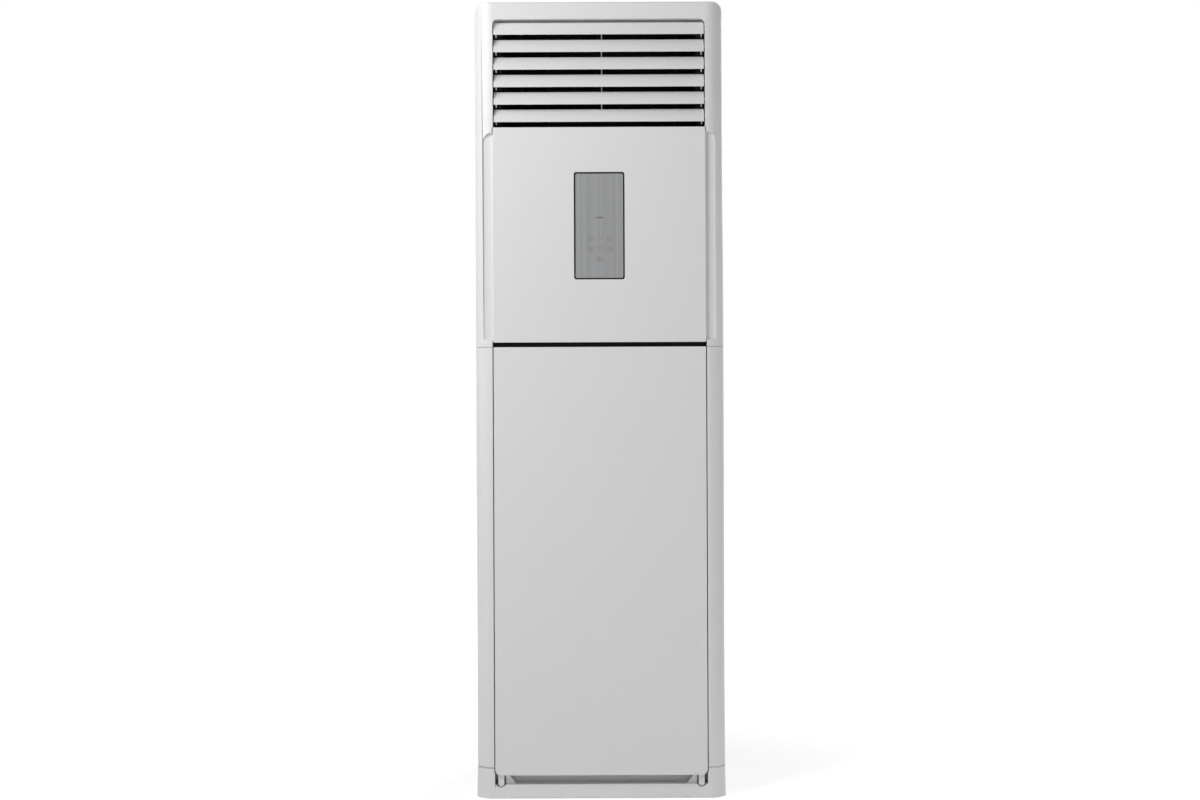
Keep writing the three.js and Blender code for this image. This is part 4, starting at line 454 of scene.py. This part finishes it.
def band(cx, cz, r, start, end):
    """An open arc as wide as a printed line."""
    return (arc(cx, cz, r + MARK_LINE / 2, start, end) + arc(cx, cz, r - MARK_LINE / 2, end, start))


def bar(cx, cz, half_x, half_z):
    return [(cx - half_x, cz - half_z), (cx + half_x, cz - half_z),
            (cx + half_x, cz + half_z), (cx - half_x, cz + half_z)]


LENS_SHAPE = [(-0.013, -0.0006), (-0.004, -0.0024), (0.004, -0.0024), (0.013, -0.0006),
              (0.004, 0.0014), (0, 0.0030), (-0.004, 0.0014)]
KEY_PLACES = [(590.6, 238), (600.3, 236), (610, 238), (590.6, 248.2), (600.3, 248), (610, 248.2)]
gx, gz = photo_point(599.8, 217)
marks = [[(gx + x, gz + z) for x, z in LENS_SHAPE]]
for k, place in enumerate(KEY_PLACES):
    kx, kz = photo_point(*place)
    if k % 3 == 1:
        marks += [band(kx, kz, 0.0054, 0, 180), band(kx, kz, 0.0054, 200, 340)]
    else:
        marks += [band(kx, kz, 0.0062, 115, 425), bar(kx, kz, 0.0034, 0.0007)]
        if k > 2:
            marks += [bar(kx, kz - 0.0018, 0.0006, 0.0016)]
px, pz = photo_point(599.8, 258.9)
marks += [band(px, pz - 0.0005, 0.0066, -40, 220), bar(px, pz + 0.0004, 0.0034, 0.0010),
          bar(px, pz - 0.0052, 0.0034, 0.0006)]
printed("touch_marks", marks)


# ------------------------------------------------------------------ stage
def stage_plane(name, size):
    """A level square of the stage at the height of the floor."""
    me = bpy.data.meshes.new(name)
    half = size / 2
    me.from_pydata([(-half, -half, 0), (half, -half, 0), (half, half, 0), (-half, half, 0)],
                   [], [(0, 1, 2, 3)])
    ob = bpy.data.objects.new(name, me)
    scene.collection.objects.link(ob)
    return ob


def seen(tree):
    """1 on rays that show the background, straight, in a reflection or through glass, and else 0."""
    rays = tree.nodes.new("ShaderNodeLightPath")
    total = rays.outputs["Is Camera Ray"]
    for other in ("Is Glossy Ray", "Is Transmission Ray"):
        both = tree.nodes.new("ShaderNodeMath")
        both.operation = "MAXIMUM"
        tree.links.new(total, both.inputs[0])
        tree.links.new(rays.outputs[other], both.inputs[1])
        total = both.outputs[0]
    return total


FLOOR_SIZE = 30.0
FLOOR_GLOW_NEAR = 0.38  # white that the background rays see added to the floor beside the object
FLOOR_GLOW_FAR = 0.87
GLOW_REACH = 3.2  # metres from the object to where the far value is reached
WORLD_LIGHT = 0.15
floor = stage_plane("floor", FLOOR_SIZE)
s = Shade("floor_paint")
near = s.add("ShaderNodeTexGradient", gradient_type="SPHERICAL")
s.link(s.place((1 / GLOW_REACH, 1 / GLOW_REACH, 1 / GLOW_REACH)), near.inputs["Vector"])
glow = s.add("ShaderNodeEmission")
glow.inputs["Color"].default_value = (1, 1, 1, 1)
s.link(s.spread(near.outputs["Fac"], FLOOR_GLOW_FAR, FLOOR_GLOW_NEAR, 0.0, 1.0), glow.inputs["Strength"])
none = s.add("ShaderNodeEmission")
none.inputs["Strength"].default_value = 0.0
shown = s.add("ShaderNodeMixShader")
s.link(seen(s.mat.node_tree), shown.inputs[0])
s.link(none.outputs[0], shown.inputs[1])
s.link(glow.outputs[0], shown.inputs[2])
total = s.add("ShaderNodeAddShader")
s.set(Base_Color=s.blend(s.noise(4.0), (0.93, 0.93, 0.93), (0.95, 0.95, 0.95)), Roughness=0.8)
s.link(s.bsdf.outputs[0], total.inputs[0])
s.link(shown.outputs[0], total.inputs[1])
s.link(total.outputs[0], s.out.inputs[0])
floor.data.materials.append(s.mat)

world = bpy.data.worlds.new("studio")
scene.world = world
world.use_nodes = True
wt = world.node_tree
wt.nodes.clear()
w_out = wt.nodes.new("ShaderNodeOutputWorld")
w_light = wt.nodes.new("ShaderNodeBackground")
w_light.inputs[0].default_value = (1, 1, 1, 1)
w_light.inputs[1].default_value = WORLD_LIGHT
w_seen = wt.nodes.new("ShaderNodeBackground")
w_seen.inputs[0].default_value = (1, 1, 1, 1)
w_seen.inputs[1].default_value = 1.0
w_mix = wt.nodes.new("ShaderNodeMixShader")
wt.links.new(seen(wt), w_mix.inputs[0])
wt.links.new(w_light.outputs[0], w_mix.inputs[1])
wt.links.new(w_seen.outputs[0], w_mix.inputs[2])
wt.links.new(w_mix.outputs[0], w_out.inputs[0])


def lamp(name, place, target, size, watts):
    data = bpy.data.lights.new(name, "AREA")
    data.shape = "RECTANGLE"
    data.size, data.size_y = size
    data.energy = watts
    ob = bpy.data.objects.new(name, data)
    scene.collection.objects.link(ob)
    aim = (Vector(target) - Vector(place)).to_track_quat("-Z", "Y").to_matrix().to_4x4()
    ob.matrix_world = Matrix.Translation(place) @ aim
    return ob


lamp("key", (-1.5, -1.9, 2.5), (0.0, -0.2, 1.4), (1.0, 1.0), 32)
lamp("key_left", (-2.0, -1.3, 2.3), (0.0, -0.2, 1.3), (0.9, 1.2), 14)
lamp("fill_right", (3.2, -0.8, 1.2), (0.0, -0.2, 1.0), (1.0, 2.0), 18)
lamp("fill_low", (0.0, -3.6, 0.3), (0.0, -0.2, 0.5), (2.4, 0.5), 9)
lamp("rear", (1.5, 3.0, 2.5), (0.0, 0.2, 1.0), (1.6, 1.6), 45)
